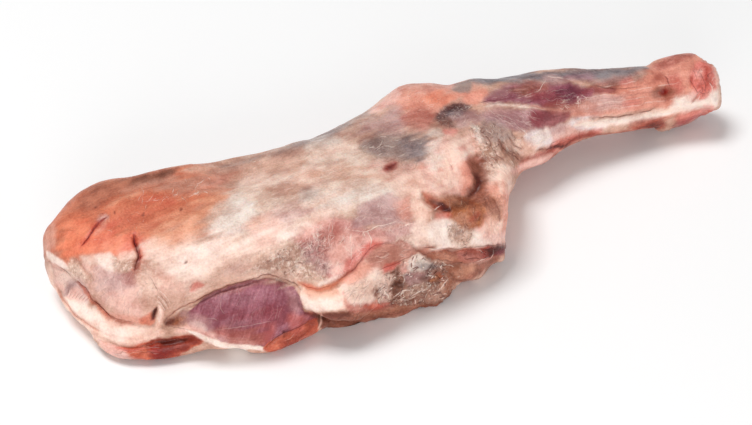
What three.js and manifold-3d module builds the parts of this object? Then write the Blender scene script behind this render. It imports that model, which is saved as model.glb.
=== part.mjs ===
// A raw, bone-in lamb shoulder with its foreshank, lying on its flat inner side.
//
// The joint is one piece of meat, so it is one solid: a thick slab over the blade bone, the round
// shank that leaves it at the far side, and the muscles, flaps and fat that swell out of them.
// Units are millimetres, +Z is up, +X runs from the blade end to the knuckle of the shank, and +Y
// points to the far side. The origin is the middle of the joint's box, on the table it lies on.

import * as THREE from "three";
import Module from "manifold-3d";

const wasm = await Module();
wasm.setup();

// Driving dimensions
const BLADE_END = -200; // the broad end of the blade
const SLAB_END = 62; // the slab stops here, inside the root of the shank
const KNUCKLE_END = 200; // the tip of the shank's bone
const TORN_END = 203; // the torn rim of the wrist joint, just past it
const SLAB_RINGS = 60;
const TOP_SIDES = 36; // faces over the slab, from edge to edge
const UNDER_SIDES = 12;

const MEAT = new THREE.MeshStandardMaterial({ color: 0xd6a08a, roughness: 0.45, metalness: 0 });

// A smooth curve through [position, value] pairs, read at any position
function profile(...pairs) {
  const positions = pairs.map(([position]) => position);
  const values = pairs.map(([, value]) => value);
  const curve = new THREE.CubicInterpolant(positions, values, 1);
  return (at) => curve.evaluate(THREE.MathUtils.clamp(at, positions[0], positions.at(-1)))[0];
}

// A power that keeps its sign, which squares the corners of a round section
function rounded(value, power) {
  return Math.sign(value) * Math.abs(value) ** power;
}

// A closed skin over a row of rings, brought to a point at each end
function loft(rings) {
  const sides = rings[0].length;
  const middle = (ring) => ring.reduce((sum, p) => sum.add(p), new THREE.Vector3()).divideScalar(sides);
  const points = [...rings.flat(), middle(rings[0]), middle(rings.at(-1))];
  const start = points.length - 2;
  const end = points.length - 1;
  const faces = [];
  for (let side = 0; side < sides; side++) {
    const next = (side + 1) % sides;
    faces.push(start, next, side);
    for (let ring = 0; ring + 1 < rings.length; ring++) {
      const low = ring * sides;
      const high = low + sides;
      faces.push(low + side, low + next, high + side);
      faces.push(low + next, high + next, high + side);
    }
    const last = (rings.length - 1) * sides;
    faces.push(end, last + side, last + next);
  }
  return { points, faces };
}

function solid({ points, faces }) {
  const vertProperties = new Float32Array(points.flatMap((p) => p.toArray()));
  const made = new wasm.Manifold(
    new wasm.Mesh({ numProp: 3, vertProperties, triVerts: new Uint32Array(faces) }),
  );
  if (made.volume() > 0) return made;
  const turned = faces.map((_, i) => faces[i - (i % 3) + [0, 2, 1][i % 3]]);
  return new wasm.Manifold(
    new wasm.Mesh({ numProp: 3, vertProperties, triVerts: new Uint32Array(turned) }),
  );
}

// A muscle, flap or roll: flat or round rings along a curved line, tapered to both ends.
// width is half its breadth level with the table, height half its thickness, and blunt is how long
// it keeps its full girth before it closes.
function muscle({ line, width, height, blunt = 0.5, rings = 15, sides = 16 }) {
  const curve = new THREE.CatmullRomCurve3(line.map((p) => new THREE.Vector3(...p)));
  const up = new THREE.Vector3(0, 0, 1);
  const made = [];
  for (let ring = 0; ring < rings; ring++) {
    const t = (1 - Math.cos((Math.PI * (ring + 0.5)) / rings)) / 2;
    const girth = Math.sqrt(1 - Math.abs(2 * t - 1) ** (2 / (1 - blunt)));
    const centre = curve.getPoint(t);
    const ahead = curve.getTangent(t);
    const across = new THREE.Vector3().crossVectors(up, ahead).normalize();
    const above = new THREE.Vector3().crossVectors(ahead, across);
    const points = [];
    for (let side = 0; side < sides; side++) {
      const angle = (2 * Math.PI * side) / sides;
      const p = centre.clone();
      p.addScaledVector(across, width(t) * girth * Math.cos(angle));
      p.addScaledVector(above, height(t) * girth * Math.sin(angle));
      p.z = Math.max(0, p.z);
      points.push(p);
    }
    made.push(points);
  }
  return solid(loft(made));
}

const steady = (value) => () => value;

// The slab over the blade bone: its edges in plan, and its height, along the joint
const nearEdge = profile(
  [-200, -6], [-195, -21], [-184, -40], [-170, -57], [-150, -64], [-118, -62], [-90, -64],
  [-60, -69], [-20, -66], [6, -56], [27, -48], [38, -37], [45, -18], [53, 2], [62, 26],
);
const farEdge = profile(
  [-200, 2], [-195, 11], [-184, 21], [-167, 29], [-146, 33], [-97, 34], [-75, 36], [-58, 42],
  [-33, 52], [-17, 60], [-2, 72], [8, 77], [20, 77], [43, 71], [62, 60],
);
const nearEdgeHeight = profile(
  [-200, 24], [-184, 24], [-165, 23], [-150, 22], [-134, 27], [-103, 35], [-81, 34], [-60, 31],
  [-20, 26], [27, 22], [62, 24],
);
const farEdgeHeight = profile([-200, 24], [-150, 26], [-60, 28], [0, 30], [62, 28]);
const crownHeight = profile(
  [-200, 32], [-195, 40], [-184, 47], [-165, 53], [-140, 56], [-100, 58], [-60, 60], [-20, 60],
  [15, 58], [40, 51], [62, 42],
);
// How far the round underside would reach below the table that presses it flat
const tableSink = profile([-200, -12], [-192, -2], [-178, 9], [-60, 9], [36, 9], [50, 0], [62, -14]);
// Where each ring stands, as a share of their number: they crowd where the form turns quickly
const ringPlace = profile([0, BLADE_END], [0.12, -188], [0.56, -18], [0.93, 52], [1, SLAB_END]);

// Swells and hollows of the slab's upper face: where, how wide along and across, and how high
const RELIEF = {
  shoulderPoint: { at: [12, 52], along: 24, across: 18, height: 4 },
  elbow: { at: [6, -8], along: 15, across: 20, height: 6 },
  elbowHollow: { at: [14, -31], along: 13, across: 9, height: -13 },
  elbowCleft: { at: [30, -12], along: 6, across: 15, height: -8 },
  elbowCorner: { at: [36, -34], along: 7, across: 10, height: 4 },
  nearMuscle: { at: [-45, -38], along: 42, across: 18, height: 3 },
  bladeTrough: { at: [-90, 2], along: 60, across: 9, height: -2.5 },
  bladeRidge: { at: [-115, 15], along: 70, across: 8, height: 3 },
};

function relief(x, y) {
  let height = 0;
  for (const swell of Object.values(RELIEF)) {
    const along = (x - swell.at[0]) / swell.along;
    const across = (y - swell.at[1]) / swell.across;
    height += swell.height * Math.exp(-(along * along) - across * across);
  }
  return height;
}

// Powers that shape the slab's section: 1 is an ellipse, less squares the corner
const NEAR_CORNER = 0.66;
const FAR_CORNER = 0.92;
const UNDER_CORNER = 0.8;
const RELIEF_EDGE = 0.5; // the swells fade out below this share of the rise, towards the slab's edges

function slabPoint(x, angle) {
  const near = nearEdge(x);
  const far = farEdge(x);
  const across = Math.cos(angle);
  const above = Math.sin(angle);
  const towardsFar = (across + 1) / 2;
  const topCorner = THREE.MathUtils.lerp(NEAR_CORNER, FAR_CORNER, towardsFar);
  const corner = above > 0 ? topCorner : UNDER_CORNER;
  const y = (near + far) / 2 + ((far - near) / 2) * rounded(across, corner);
  const edge = THREE.MathUtils.lerp(nearEdgeHeight(x), farEdgeHeight(x), towardsFar);
  const rise = above > 0 ? crownHeight(x) - edge : edge + tableSink(x);
  const lift = above > 0 ? relief(x, y) * Math.min(1, above / RELIEF_EDGE) : 0;
  return new THREE.Vector3(x, y, Math.max(0, edge + rise * rounded(above, corner) + lift));
}

function slabRing(x) {
  const points = [];
  for (let side = 0; side < TOP_SIDES; side++) points.push(slabPoint(x, (Math.PI * side) / TOP_SIDES));
  for (let side = 0; side < UNDER_SIDES; side++) {
    points.push(slabPoint(x, Math.PI * (1 + side / UNDER_SIDES)));
  }
  return points;
}

function slab() {
  const rings = [];
  for (let ring = 0; ring <= SLAB_RINGS; ring++) rings.push(slabRing(ringPlace(ring / SLAB_RINGS)));
  return solid(loft(rings));
}

// The foreshank: bone, muscle bundles and the knuckle at its end
function shank() {
  const core = muscle({
    line: [[10, 44, 30], [60, 46, 29], [95, 53, 29], [140, 57, 27], [170, 60, 24], [KNUCKLE_END, 61, 22]],
    width: profile([0, 26], [0.28, 26], [0.48, 20], [0.68, 15.5], [0.83, 18], [0.93, 20], [1, 18]),
    height: profile([0, 24], [0.28, 24], [0.48, 20], [0.68, 16], [0.83, 18], [0.93, 20], [1, 18]),
    blunt: 0.86,
    rings: 30,
    sides: 24,
  });
  const bundles = [
    {
      line: [[40, 60, 40], [85, 63, 40], [120, 65, 37], [150, 64, 32]],
      width: steady(9), height: steady(9),
    },
    {
      line: [[30, 38, 47], [75, 46, 44], [120, 54, 39], [165, 58, 34]],
      width: steady(11), height: steady(9),
    },
    {
      line: [[24, 18, 32], [60, 27, 30], [95, 40, 24], [145, 50, 20]],
      width: profile([0, 12], [0.4, 14], [1, 6]),
      height: profile([0, 14], [0.4, 15], [1, 6]),
    },
    {
      line: [[80, 35, 29], [120, 43, 22], [150, 46, 17], [186, 50, 13]],
      width: steady(6), height: steady(6),
    },
    {
      line: [[44, 60, 22], [80, 66, 23], [120, 67, 22], [160, 66, 20]],
      width: steady(8), height: steady(11),
    },
  ];
  return bundles.reduce((made, bundle) => made.add(muscle(bundle)), core).add(knuckle());
}

// The wrist joint that ends the shank: the round upper head, the lower process and the torn rim
function knuckle() {
  const heads = [
    { line: [[160, 65, 28], [180, 67, 29], [197, 65, 27]], width: steady(12), height: steady(15) },
    { line: [[160, 52, 12], [174, 51, 9], [192, 53, 11]], width: steady(8), height: steady(9) },
    { line: [[182, 60, 22], [193, 61, 22], [TORN_END, 61, 22]], width: steady(15), height: steady(16) },
  ];
  return heads.map((head) => muscle({ blunt: 0.5, ...head })).reduce((made, head) => made.add(head));
}

// What shows under the near edge: muscles, the rolled lower layer and the trimmed flaps
const NEAR_SIDE = {
  purpleMuscle: {
    line: [[-150, -57, 12], [-126, -61, 15], [-98, -61, 17], [-64, -57, 16]],
    width: profile([0, 12], [0.35, 18], [0.7, 20], [1, 18]),
    height: profile([0, 10], [0.3, 15], [0.65, 18], [1, 18]),
    blunt: 0.5, rings: 22, sides: 24,
  },
  purpleMuscleTail: {
    line: [[-112, -72, 5], [-98, -74, 6], [-80, -69, 8], [-62, -56, 11]],
    width: steady(8), height: steady(8),
  },
  rolledEdge: {
    line: [[-184, 18, 16], [-190, -9, 14], [-184, -31, 12], [-171, -50, 12], [-146, -60, 13]],
    width: steady(10), height: steady(10), blunt: 0.7, rings: 22,
  },
  redFlap: {
    line: [[-180, -44, 6], [-163, -58, 6], [-142, -60, 6], [-116, -54, 7]],
    width: steady(14), height: steady(8),
  },
  fatLip: {
    line: [[-84, -64, 33], [-70, -71, 28], [-50, -71, 26], [-30, -62, 26]],
    width: steady(7), height: steady(10), blunt: 0.65,
  },
  lowerFlap: {
    line: [[-80, -56, 4], [-45, -55, 5], [-16, -55, 5], [8, -48, 5]],
    width: steady(10), height: steady(6), blunt: 0.7, rings: 18,
  },
  raggedEdge: {
    line: [[-36, -58, 15], [-14, -57, 15], [6, -49, 15], [32, -36, 14]],
    width: steady(9), height: steady(9), blunt: 0.6,
  },
};

// The far side, which leans away: a long muscle under the slab's edge and the flap it lies on
const FAR_SIDE = {
  farMuscle: {
    line: [[-176, 18, 20], [-120, 28, 22], [-60, 32, 23], [-6, 60, 25]],
    width: steady(11), height: steady(13), blunt: 0.6, rings: 20,
  },
  farFlap: {
    line: [[-158, 22, 5], [-100, 29, 5], [-44, 38, 6], [14, 66, 7]],
    width: steady(12), height: steady(7), blunt: 0.6, rings: 18,
  },
};

function shoulder() {
  let made = slab().add(shank());
  for (const piece of Object.values({ ...NEAR_SIDE, ...FAR_SIDE })) made = made.add(muscle(piece));
  return made;
}

function meshOf(made, name, material) {
  const { numProp, vertProperties, triVerts } = made.getMesh();
  const geometry = new THREE.BufferGeometry();
  geometry.setAttribute("position", new THREE.BufferAttribute(new Float32Array(vertProperties), numProp));
  geometry.setIndex(new THREE.BufferAttribute(new Uint32Array(triVerts), 1));
  geometry.computeVertexNormals();
  geometry.computeBoundingBox();
  const mesh = new THREE.Mesh(geometry, material);
  mesh.name = name;
  return mesh;
}

const meat = meshOf(shoulder(), "lamb_shoulder", MEAT);
const middle = meat.geometry.boundingBox.getCenter(new THREE.Vector3());
meat.position.set(-middle.x, -middle.y, -meat.geometry.boundingBox.min.z);

const joint = new THREE.Group();
joint.add(meat);

export default joint;
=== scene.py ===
# A raw, bone-in lamb shoulder with its foreshank, lying on its flat inner side on a pale table.
import math

import bmesh
import bpy
import numpy as np
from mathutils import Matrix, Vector, noise
from mathutils.bvhtree import BVHTree
from mathutils.kdtree import KDTree


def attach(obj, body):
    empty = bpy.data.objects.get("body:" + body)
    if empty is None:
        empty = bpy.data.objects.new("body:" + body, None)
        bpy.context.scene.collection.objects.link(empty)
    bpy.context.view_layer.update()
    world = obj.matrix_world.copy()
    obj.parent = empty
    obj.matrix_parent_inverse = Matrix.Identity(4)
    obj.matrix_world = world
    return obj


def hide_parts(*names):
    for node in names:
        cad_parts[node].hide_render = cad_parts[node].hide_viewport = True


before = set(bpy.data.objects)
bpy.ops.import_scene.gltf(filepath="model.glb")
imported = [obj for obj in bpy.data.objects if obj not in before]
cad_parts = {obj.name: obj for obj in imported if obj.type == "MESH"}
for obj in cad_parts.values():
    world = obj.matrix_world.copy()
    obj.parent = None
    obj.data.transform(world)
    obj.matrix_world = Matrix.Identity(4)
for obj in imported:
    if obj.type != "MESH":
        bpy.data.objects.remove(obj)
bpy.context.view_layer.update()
scene = bpy.context.scene

# Camera
# A long lens, well above the table and a little to the left of the joint's near side. The places of
# tissues and creases below are given as pixels of this view, which is 752 by 425.
PHOTO_WIDE = 752
PHOTO_HIGH = 425
LENS_MM = 70
SENSOR_MM = 36
VIEW_TURN = math.radians(-14)
VIEW_RISE = math.radians(38)
VIEW_DISTANCE = 0.790
VIEW_TARGET = Vector((-0.0265, -0.0040, 0.020))
FOCAL_PIXELS = LENS_MM / SENSOR_MM * PHOTO_WIDE
MM = 0.001
MM_PER_PIXEL = VIEW_DISTANCE / FOCAL_PIXELS / MM

backwards = Vector((
    math.sin(VIEW_TURN) * math.cos(VIEW_RISE),
    -math.cos(VIEW_TURN) * math.cos(VIEW_RISE),
    math.sin(VIEW_RISE),
))
camera = bpy.data.objects.new("camera", bpy.data.cameras.new("camera"))
scene.collection.objects.link(camera)
scene.camera = camera
camera.data.lens = LENS_MM
camera.data.sensor_width = SENSOR_MM
camera.location = VIEW_TARGET + backwards * VIEW_DISTANCE
camera.rotation_mode = "QUATERNION"
camera.rotation_quaternion = (-backwards).to_track_quat("-Z", "Y")

eye = np.array(camera.location)
view_axes = np.array(camera.rotation_quaternion.to_matrix())


def on_photo(points):
    """The photo pixels, across and down, at which points in metres show."""
    seen = (points - eye) @ view_axes
    across = PHOTO_WIDE / 2 - FOCAL_PIXELS * seen[:, 0] / seen[:, 2]
    down = PHOTO_HIGH / 2 + FOCAL_PIXELS * seen[:, 1] / seen[:, 2]
    return np.stack([across, down], 1)


# The joint's form
# One piece of meat: muscle and bone under fat, fell and silverskin, boned out of the carcass by knife.
# The skin is the solid's own form, drawn as a net that is finer where it shows, and finest where a knife or
# a tear left detail.
NET_SPACING = 2.75 * MM
NET_EASING = 3
FINE_EASING = 3
EASING_SHARE = 0.5
SAME_POINT = 0.001 * MM

meat = bpy.data.objects.new("raw_lamb_shoulder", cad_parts["lamb_shoulder"].data.copy())
scene.collection.objects.link(meat)
form = bmesh.new()
form.from_mesh(meat.data)
bmesh.ops.remove_doubles(form, verts=form.verts, dist=SAME_POINT)
form.to_mesh(meat.data)
form.free()
net = meat.modifiers.new("net", "REMESH")
net.mode = "VOXEL"
net.voxel_size = NET_SPACING
ease = meat.modifiers.new("ease", "SMOOTH")
ease.factor = EASING_SHARE
ease.iterations = NET_EASING
skin = bpy.data.meshes.new_from_object(meat.evaluated_get(bpy.context.evaluated_depsgraph_get()))
meat.modifiers.clear()
meat.data = skin


def read(name):
    """The skin's places or normals, one row for each point."""
    values = np.empty(len(skin.vertices) * 3)
    skin.vertices.foreach_get(name, values)
    return values.reshape(-1, 3)


CLEAR_OF_SKIN = 0.5 * MM


def shown_points():
    """Which points of the skin the camera sees."""
    points = read("co")
    facing = read("normal")
    tree = BVHTree.FromObject(meat, bpy.context.evaluated_depsgraph_get())
    shown = np.zeros(len(points), bool)
    for i in np.flatnonzero(((eye - points) * facing).sum(1) > 0):
        outside = Vector(points[i] + facing[i] * CLEAR_OF_SKIN)
        shown[i] = tree.ray_cast(outside, Vector(eye) - outside)[0] is None
    return shown


def inside(outline, spots):
    """Which spots lie within a closed line."""
    within = np.zeros(len(spots), bool)
    for (x0, y0), (x1, y1) in zip(outline[:-1], outline[1:]):
        spans = (y0 > spots[:, 1]) != (y1 > spots[:, 1])
        crossing = (x1 - x0) * (spots[:, 1] - y0) / (y1 - y0 if y1 != y0 else 1) + x0
        within ^= spans & (spots[:, 0] < crossing)
    return within


# The part of the view where the net is finest
CRISP = np.array([
    (38, 242), (62, 248), (84, 206), (112, 206), (128, 226), (146, 232), (168, 286), (210, 280), (262, 262),
    (300, 232), (330, 208), (404, 192), (424, 150), (432, 100), (464, 98), (500, 112), (548, 112), (566, 146),
    (516, 184), (516, 258), (470, 284), (440, 312), (330, 334), (272, 360), (200, 350), (150, 370), (96, 356),
    (38, 292), (38, 242),
])
for zone in ("shown", "crisp"):
    wanted = shown_points()
    if zone == "crisp":
        wanted &= inside(CRISP, on_photo(read("co")))
    form = bmesh.new()
    form.from_mesh(skin)
    form.verts.ensure_lookup_table()
    fine = {e for f in form.faces if any(wanted[v.index] for v in f.verts) for e in f.edges}
    bmesh.ops.subdivide_edges(form, edges=list(fine), cuts=1, use_grid_fill=True)
    for _ in range(FINE_EASING):
        bmesh.ops.smooth_vert(form, verts=form.verts, factor=EASING_SHARE,
                              use_axis_x=True, use_axis_y=True, use_axis_z=True)
    form.to_mesh(skin)
    form.free()
    skin.update()
COUNT = len(skin.vertices)
start = read("co")
normals = read("normal")


def look():
    """Where each point shows on the photo, and how far in mm it is hidden behind what shows there."""
    shown = shown_points()
    seen = np.flatnonzero(shown)
    nearest = KDTree(len(seen))
    for n, i in enumerate(seen):
        nearest.insert(start[i], n)
    nearest.balance()
    own = np.arange(COUNT)
    behind = np.zeros(COUNT)
    for i in np.flatnonzero(~shown):
        _, n, gap = nearest.find(start[i])
        own[i] = seen[n]
        behind[i] = gap / MM
    return on_photo(start)[own], behind


places, hidden = look()


CURVE_STEPS = 5


def curve_through(points, closed=False):
    """A smooth line through a few photo pixels."""
    p = np.array(points, float)
    around = np.concatenate([p[-1:], p, p[:2]]) if closed else np.concatenate([p[:1], p, p[-1:]])
    line = []
    for a, b, c, d in zip(around, around[1:], around[2:], around[3:]):
        for t in np.arange(CURVE_STEPS) / CURVE_STEPS:
            line.append(0.5 * (2 * b + (c - a) * t + (2 * a - 5 * b + 4 * c - d) * t**2
                               + (3 * b - a - 3 * c + d) * t**3))
    line.append(p[0] if closed else p[-1])
    return np.array(line)


SHORTEST = 1e-9


def measure(line, spots):
    """Distance in mm from each spot to a line, the side of it, and how far along it is, from 0 to 1."""
    closest = np.full(len(spots), np.inf)
    side = np.zeros(len(spots))
    along = np.zeros(len(spots))
    run = np.linalg.norm(np.diff(line, axis=0), axis=1)
    passed = np.concatenate([[0], np.cumsum(run)])
    for k in range(len(run)):
        step = line[k + 1] - line[k]
        off = spots - line[k]
        t = np.clip(off @ step / max(step @ step, SHORTEST), 0, 1)
        off = off - t[:, None] * step
        gap = np.hypot(off[:, 0], off[:, 1])
        nearer = gap < closest
        closest = np.where(nearer, gap, closest)
        side = np.where(nearer, np.sign(step[0] * off[:, 1] - step[1] * off[:, 0]), side)
        along = np.where(nearer, (passed[k] + t * run[k]) / passed[-1], along)
    return closest * MM_PER_PIXEL, side, along


def ramp(value, low, high):
    """A smooth step from 0 at low to 1 at high."""
    t = np.clip((value - low) / (high - low), 0, 1)
    return t * t * (3 - 2 * t)


def bell(distance, width):
    """1 at no distance, fading out over a width."""
    return np.exp(-((distance / width) ** 2))


def taper(along, least=0.0):
    """A line's share of its full width along its run: 1 in the middle, and least at both ends."""
    return np.sqrt(np.clip(4 * along * (1 - along), least, 1))


# Torn and grown edges stray from a smooth line: over these lengths in mm, by so many pixels. Unless it is
# given a seed, this noise starts from the clock and strays otherwise in each run.
STRAY = {9: 2.4, 3: 1.6}
STRAY_SEED = 7
noise.seed_set(STRAY_SEED)
wobble = np.zeros((COUNT, 2))
for length, pixels in STRAY.items():
    drift = [noise.noise_vector(Vector(p) / (length * MM))[:2] for p in start]
    wobble += np.array(drift) * pixels

# Fields with edges softer than FEATHERED_MM run into each other along the meat, in streaks of this length
# and width in mm
FEATHER = 0.9
FEATHERED_MM = 2
STREAK_MM = (16.0, 2.5)
STREAK_TURN = math.radians(22)
photo_mm = places * MM_PER_PIXEL
streaks = np.array([
    2 * noise.noise(Vector((
        (x * math.cos(STREAK_TURN) - y * math.sin(STREAK_TURN)) / STREAK_MM[0],
        (x * math.sin(STREAK_TURN) + y * math.cos(STREAK_TURN)) / STREAK_MM[1],
        0,
    )))
    for x, y in photo_mm
])


def near(line, reach):
    """The points that a line, with its reach in mm, can touch."""
    margin = reach / MM_PER_PIXEL + sum(STRAY.values())
    low = line.min(0) - margin
    high = line.max(0) + margin
    return np.flatnonzero(((places > low) & (places < high)).all(1))


rise = np.zeros(COUNT)
drawn = np.zeros((COUNT, 3))
HIDDEN_FADE = 6.0
CARVING_STRAY = 0.5
RIDGE_TOP = 0.5
RIDGE_STEEP = 2.2
EDGE_SHARE = 0.8


def carved(line, reach):
    """The points near a line, their distance and side, and how far the carving shows at each."""
    path = curve_through(line)
    touched = near(path, reach)
    gap, side, along = measure(path, places[touched] + CARVING_STRAY * wobble[touched])
    return touched, gap, side, taper(along) * bell(hidden[touched], HIDDEN_FADE)


def groove(width, depth, line):
    """A crease along a line, or a ridge where depth is negative, in mm."""
    touched, gap, _, shows = carved(line, 3 * width)
    rise[touched] -= depth * shows * bell(gap, width)


def ledge(height, run, edge, line):
    """A layer that ends at a line: raised on the left of it, and falling away over its run, in mm."""
    touched, gap, side, shows = carved(line, 3 * run)
    beyond = -gap * side
    rise[touched] += height * shows * ramp(beyond, -edge, edge) * bell(beyond, run)


def dent(width, depth, centre):
    """A round hollow, or a knob where depth is negative, in mm."""
    away = np.hypot(*(places - centre).T) * MM_PER_PIXEL
    rise[:] -= depth * bell(away, width) * bell(hidden, HIDDEN_FADE)


def pull(width, across, down, centre):
    """Draws the skin sideways in this view, by so many pixels, over a width in mm."""
    away = np.hypot(*(places - centre).T) * MM_PER_PIXEL
    share = bell(away, width) * bell(hidden, HIDDEN_FADE)
    drawn[:] += share[:, None] * (across * view_axes[:, 0] - down * view_axes[:, 1]) * MM_PER_PIXEL


def field(outline, soft):
    """The points of a field, and how far each is within it, from 0 to 1, over its soft width in mm."""
    edge = curve_through(outline, closed=True)
    touched = near(edge, 2 * soft)
    spots = places[touched] + wobble[touched]
    gap = measure(edge, spots)[0]
    feather = FEATHER * max(soft - FEATHERED_MM, 0) * streaks[touched]
    depth = np.where(inside(edge, spots), gap, -gap) + feather
    return touched, ramp(depth, -EDGE_SHARE * soft, EDGE_SHARE * soft)


def roughen(height, length, soft, outline):
    """Torn, ridged relief within an outline: the ridges' height and length are in mm."""
    touched, share = field(outline, soft)
    crest = np.array([noise.noise(Vector(start[i]) / (length * MM)) for i in touched])
    shows = share * bell(hidden[touched], HIDDEN_FADE)
    rise[touched] += height * shows * (RIDGE_TOP - RIDGE_STEEP * np.abs(crest))


# Tissues
# What a joint shows: muscle, and over it films of fat, fell and silverskin that let it through. Each
# has the colour of its film, the colour under it, how much the film covers, and how much fibre, crumb,
# wet and white web it shows.
def linear(colour):
    """An sRGB hex colour as linear red, green and blue."""
    parts = [int(colour[i:i + 2], 16) / 255 for i in (1, 3, 5)]
    return np.array([c / 12.92 if c <= 0.04045 else ((c + 0.055) / 1.055) ** 2.4 for c in parts])


QUALITIES = ("cover", "fibre", "crumb", "wet", "web")
FIRST_QUALITY = 6
TISSUES = {
    "cream fat": ("#f7d9ca", "#e4b5a3", 0.62, 0.3, 0.1, 0.3, 0.1),
    "white fat": ("#fee9dd", "#f2cdbe", 0.68, 0.15, 0.05, 0.4, 0.0),
    "peach fat": ("#ffddcc", "#f3b9a3", 0.6, 0.2, 0.0, 0.5, 0.0),
    "pink fat": ("#f5c6b9", "#e09c8d", 0.58, 0.2, 0.05, 0.4, 0.1),
    "pearl film": ("#ead0c0", "#d2aa97", 0.55, 0.7, 0.05, 0.4, 0.1),
    "blush film": ("#ecc0b0", "#d49a88", 0.55, 0.5, 0.1, 0.4, 0.1),
    "apricot film": ("#e7a586", "#d1805f", 0.55, 0.4, 0.0, 0.4, 0.0),
    "coral film": ("#eca792", "#d7826d", 0.55, 0.4, 0.0, 0.45, 0.0),
    # A pale sheath, whitened further as painted sheen
    "wet sheath": ("#f4e7e6", "#dcc1c2", 0.6, 0.4, 0.0, 0.7, 0.1),
    "silverskin": ("#ebded4", "#d8bcae", 0.58, 0.6, 0.0, 0.5, 0.1),
    "lilac film": ("#dab2aa", "#ba8a83", 0.52, 0.4, 0.0, 0.5, 0.1),
    "mauve film": ("#c9a29e", "#a97b79", 0.5, 0.5, 0.0, 0.5, 0.1),
    "grey film": ("#a48b83", "#83665f", 0.5, 0.7, 0.0, 0.5, 0.0),
    "slate film": ("#96898b", "#6e6165", 0.5, 0.7, 0.0, 0.5, 0.0),
    "bruise": ("#94706d", "#45282c", 0.45, 0.4, 0.5, 0.5, 0.1),
    "tan film": ("#dbaf9b", "#bd8b77", 0.52, 0.7, 0.05, 0.3, 0.0),
    "brown film": ("#bb8b7b", "#986455", 0.5, 0.7, 0.05, 0.3, 0.0),
    "beige crumb": ("#e4c3b1", "#b58975", 0.5, 0.2, 1.0, 0.45, 0.3),
    "fell": ("#d67e5e", "#bf6145", 0.52, 0.4, 0.0, 0.4, 0.0),
    "bright fell": ("#f3916f", "#e6704f", 0.55, 0.3, 0.0, 0.45, 0.0),
    "red fell": ("#e0745a", "#c64f3a", 0.5, 0.3, 0.0, 0.45, 0.0),
    "brown fell": ("#bc755c", "#985440", 0.5, 0.6, 0.0, 0.4, 0.0),
    # Dark dried fell, used also as painted shade in hollows
    "dark fell": ("#86513e", "#582c1d", 0.5, 0.6, 0.0, 0.35, 0.0),
    "dusty fell": ("#cb917d", "#ae6e58", 0.52, 0.6, 0.05, 0.3, 0.0),
    "salmon film": ("#e2a594", "#c77f6e", 0.52, 0.6, 0.0, 0.5, 0.0),
    "rust film": ("#d0967c", "#ac684d", 0.5, 0.5, 0.1, 0.45, 0.0),
    "pink muscle": ("#dda89f", "#c07a71", 0.5, 0.6, 0.05, 0.5, 0.8),
    "rose muscle": ("#ea9086", "#d06152", 0.45, 0.4, 0.0, 0.6, 0.1),
    "red muscle": ("#cb8276", "#a45345", 0.45, 0.8, 0.0, 0.55, 0.1),
    "purple muscle": ("#b27681", "#8a4a55", 0.45, 0.9, 0.0, 0.55, 0.0),
    "deep purple": ("#86445a", "#622a3c", 0.4, 0.8, 0.0, 0.55, 0.0),
    "wine muscle": ("#a6545b", "#82353d", 0.42, 0.8, 0.0, 0.6, 0.0),
    "brick flesh": ("#bb5642", "#872c1e", 0.42, 0.5, 0.0, 0.75, 0.0),
    "orange flesh": ("#e38263", "#bf543b", 0.45, 0.4, 0.0, 0.7, 0.0),
    "torn flesh": ("#bd8f7d", "#845443", 0.45, 0.5, 0.4, 0.7, 0.0),
    "brown flesh": ("#b0705d", "#7f4735", 0.42, 0.5, 0.0, 0.55, 0.0),
    "amber flesh": ("#c97d50", "#954a28", 0.45, 0.5, 0.1, 0.5, 0.0),
    # A deep red, used also as painted shade in folds, cavities and hollows
    "dark fold": ("#7c3024", "#4a140d", 0.35, 0.3, 0.0, 0.6, 0.0),
    "blood": ("#bc2f27", "#7e1712", 0.35, 0.1, 0.0, 0.85, 0.0),
}


def swatch(tissue):
    """A tissue's two colours in the first six columns of a row, and its qualities after them."""
    top, under, *rest = TISSUES[tissue]
    return np.concatenate([linear(top), linear(under), rest])


tissue_of = np.tile(swatch("tan film"), (COUNT, 1))
GRAIN_TURN = 15.0
grain_turn = np.full(COUNT, GRAIN_TURN)


def patch(tissue, soft, amount, outline, turn=None):
    """A field of tissue within an outline, its fibres turned so many degrees."""
    touched, share = field(outline, soft)
    tissue_of[touched] += amount * share[:, None] * (swatch(tissue) - tissue_of[touched])
    if turn is not None:
        grain_turn[touched[share > 0.5]] = turn


LINE_STRAY = 0.6


def stroke(tissue, width, soft, amount, line):
    """A band of tissue along a line: half its width and the soft width of its edges are in mm."""
    path = curve_through(line)
    touched = near(path, width + 2 * soft)
    gap, _, along = measure(path, places[touched] + LINE_STRAY * wobble[touched])
    broad = width * taper(along)
    share = amount * (1 - ramp(gap, broad - soft, broad + soft))
    tissue_of[touched] += share[:, None] * (swatch(tissue) - tissue_of[touched])


# Threads are too fine for the net, so each point keeps how far the nearest lies, and on which side of it
THREAD_REACH = 4.0
THREAD_LAYERS = 3
THREAD_TIP = 0.02
MOST_WIDTHS = 20
NO_THREAD = (THREAD_REACH, THREAD_REACH, 0.0)
threads = {kind: np.tile(NO_THREAD, (THREAD_LAYERS, COUNT, 1)) for kind in ("pale", "dark")}


def thread(kind, width, force, *lines):
    """Fine pale or dark lines, tapered at their ends: half their width is in mm, their force from 0 to 1."""
    for line in lines:
        path = curve_through(line)
        touched = near(path, THREAD_REACH)
        gap, side, along = measure(path, places[touched] + LINE_STRAY * wobble[touched])
        thick = width * taper(along, THREAD_TIP)
        close = gap < 0.5 * THREAD_REACH
        room = [layer[touched[close], 1].sum() for layer in threads[kind]]
        layer = threads[kind][int(np.argmax(room))]
        closer = gap < layer[touched, 1]
        widths = np.clip(gap * side / thick, -MOST_WIDTHS, MOST_WIDTHS)
        values = np.stack([widths, gap, np.full(len(gap), force)], 1)
        layer[touched[closer]] = values[closer]


STREWN_LENGTH = (0.25, 0.75)
STREWN_BEND = 0.2
STREWN_FORCE = (0.6, 1)
chance = np.random.default_rng(7)


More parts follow.
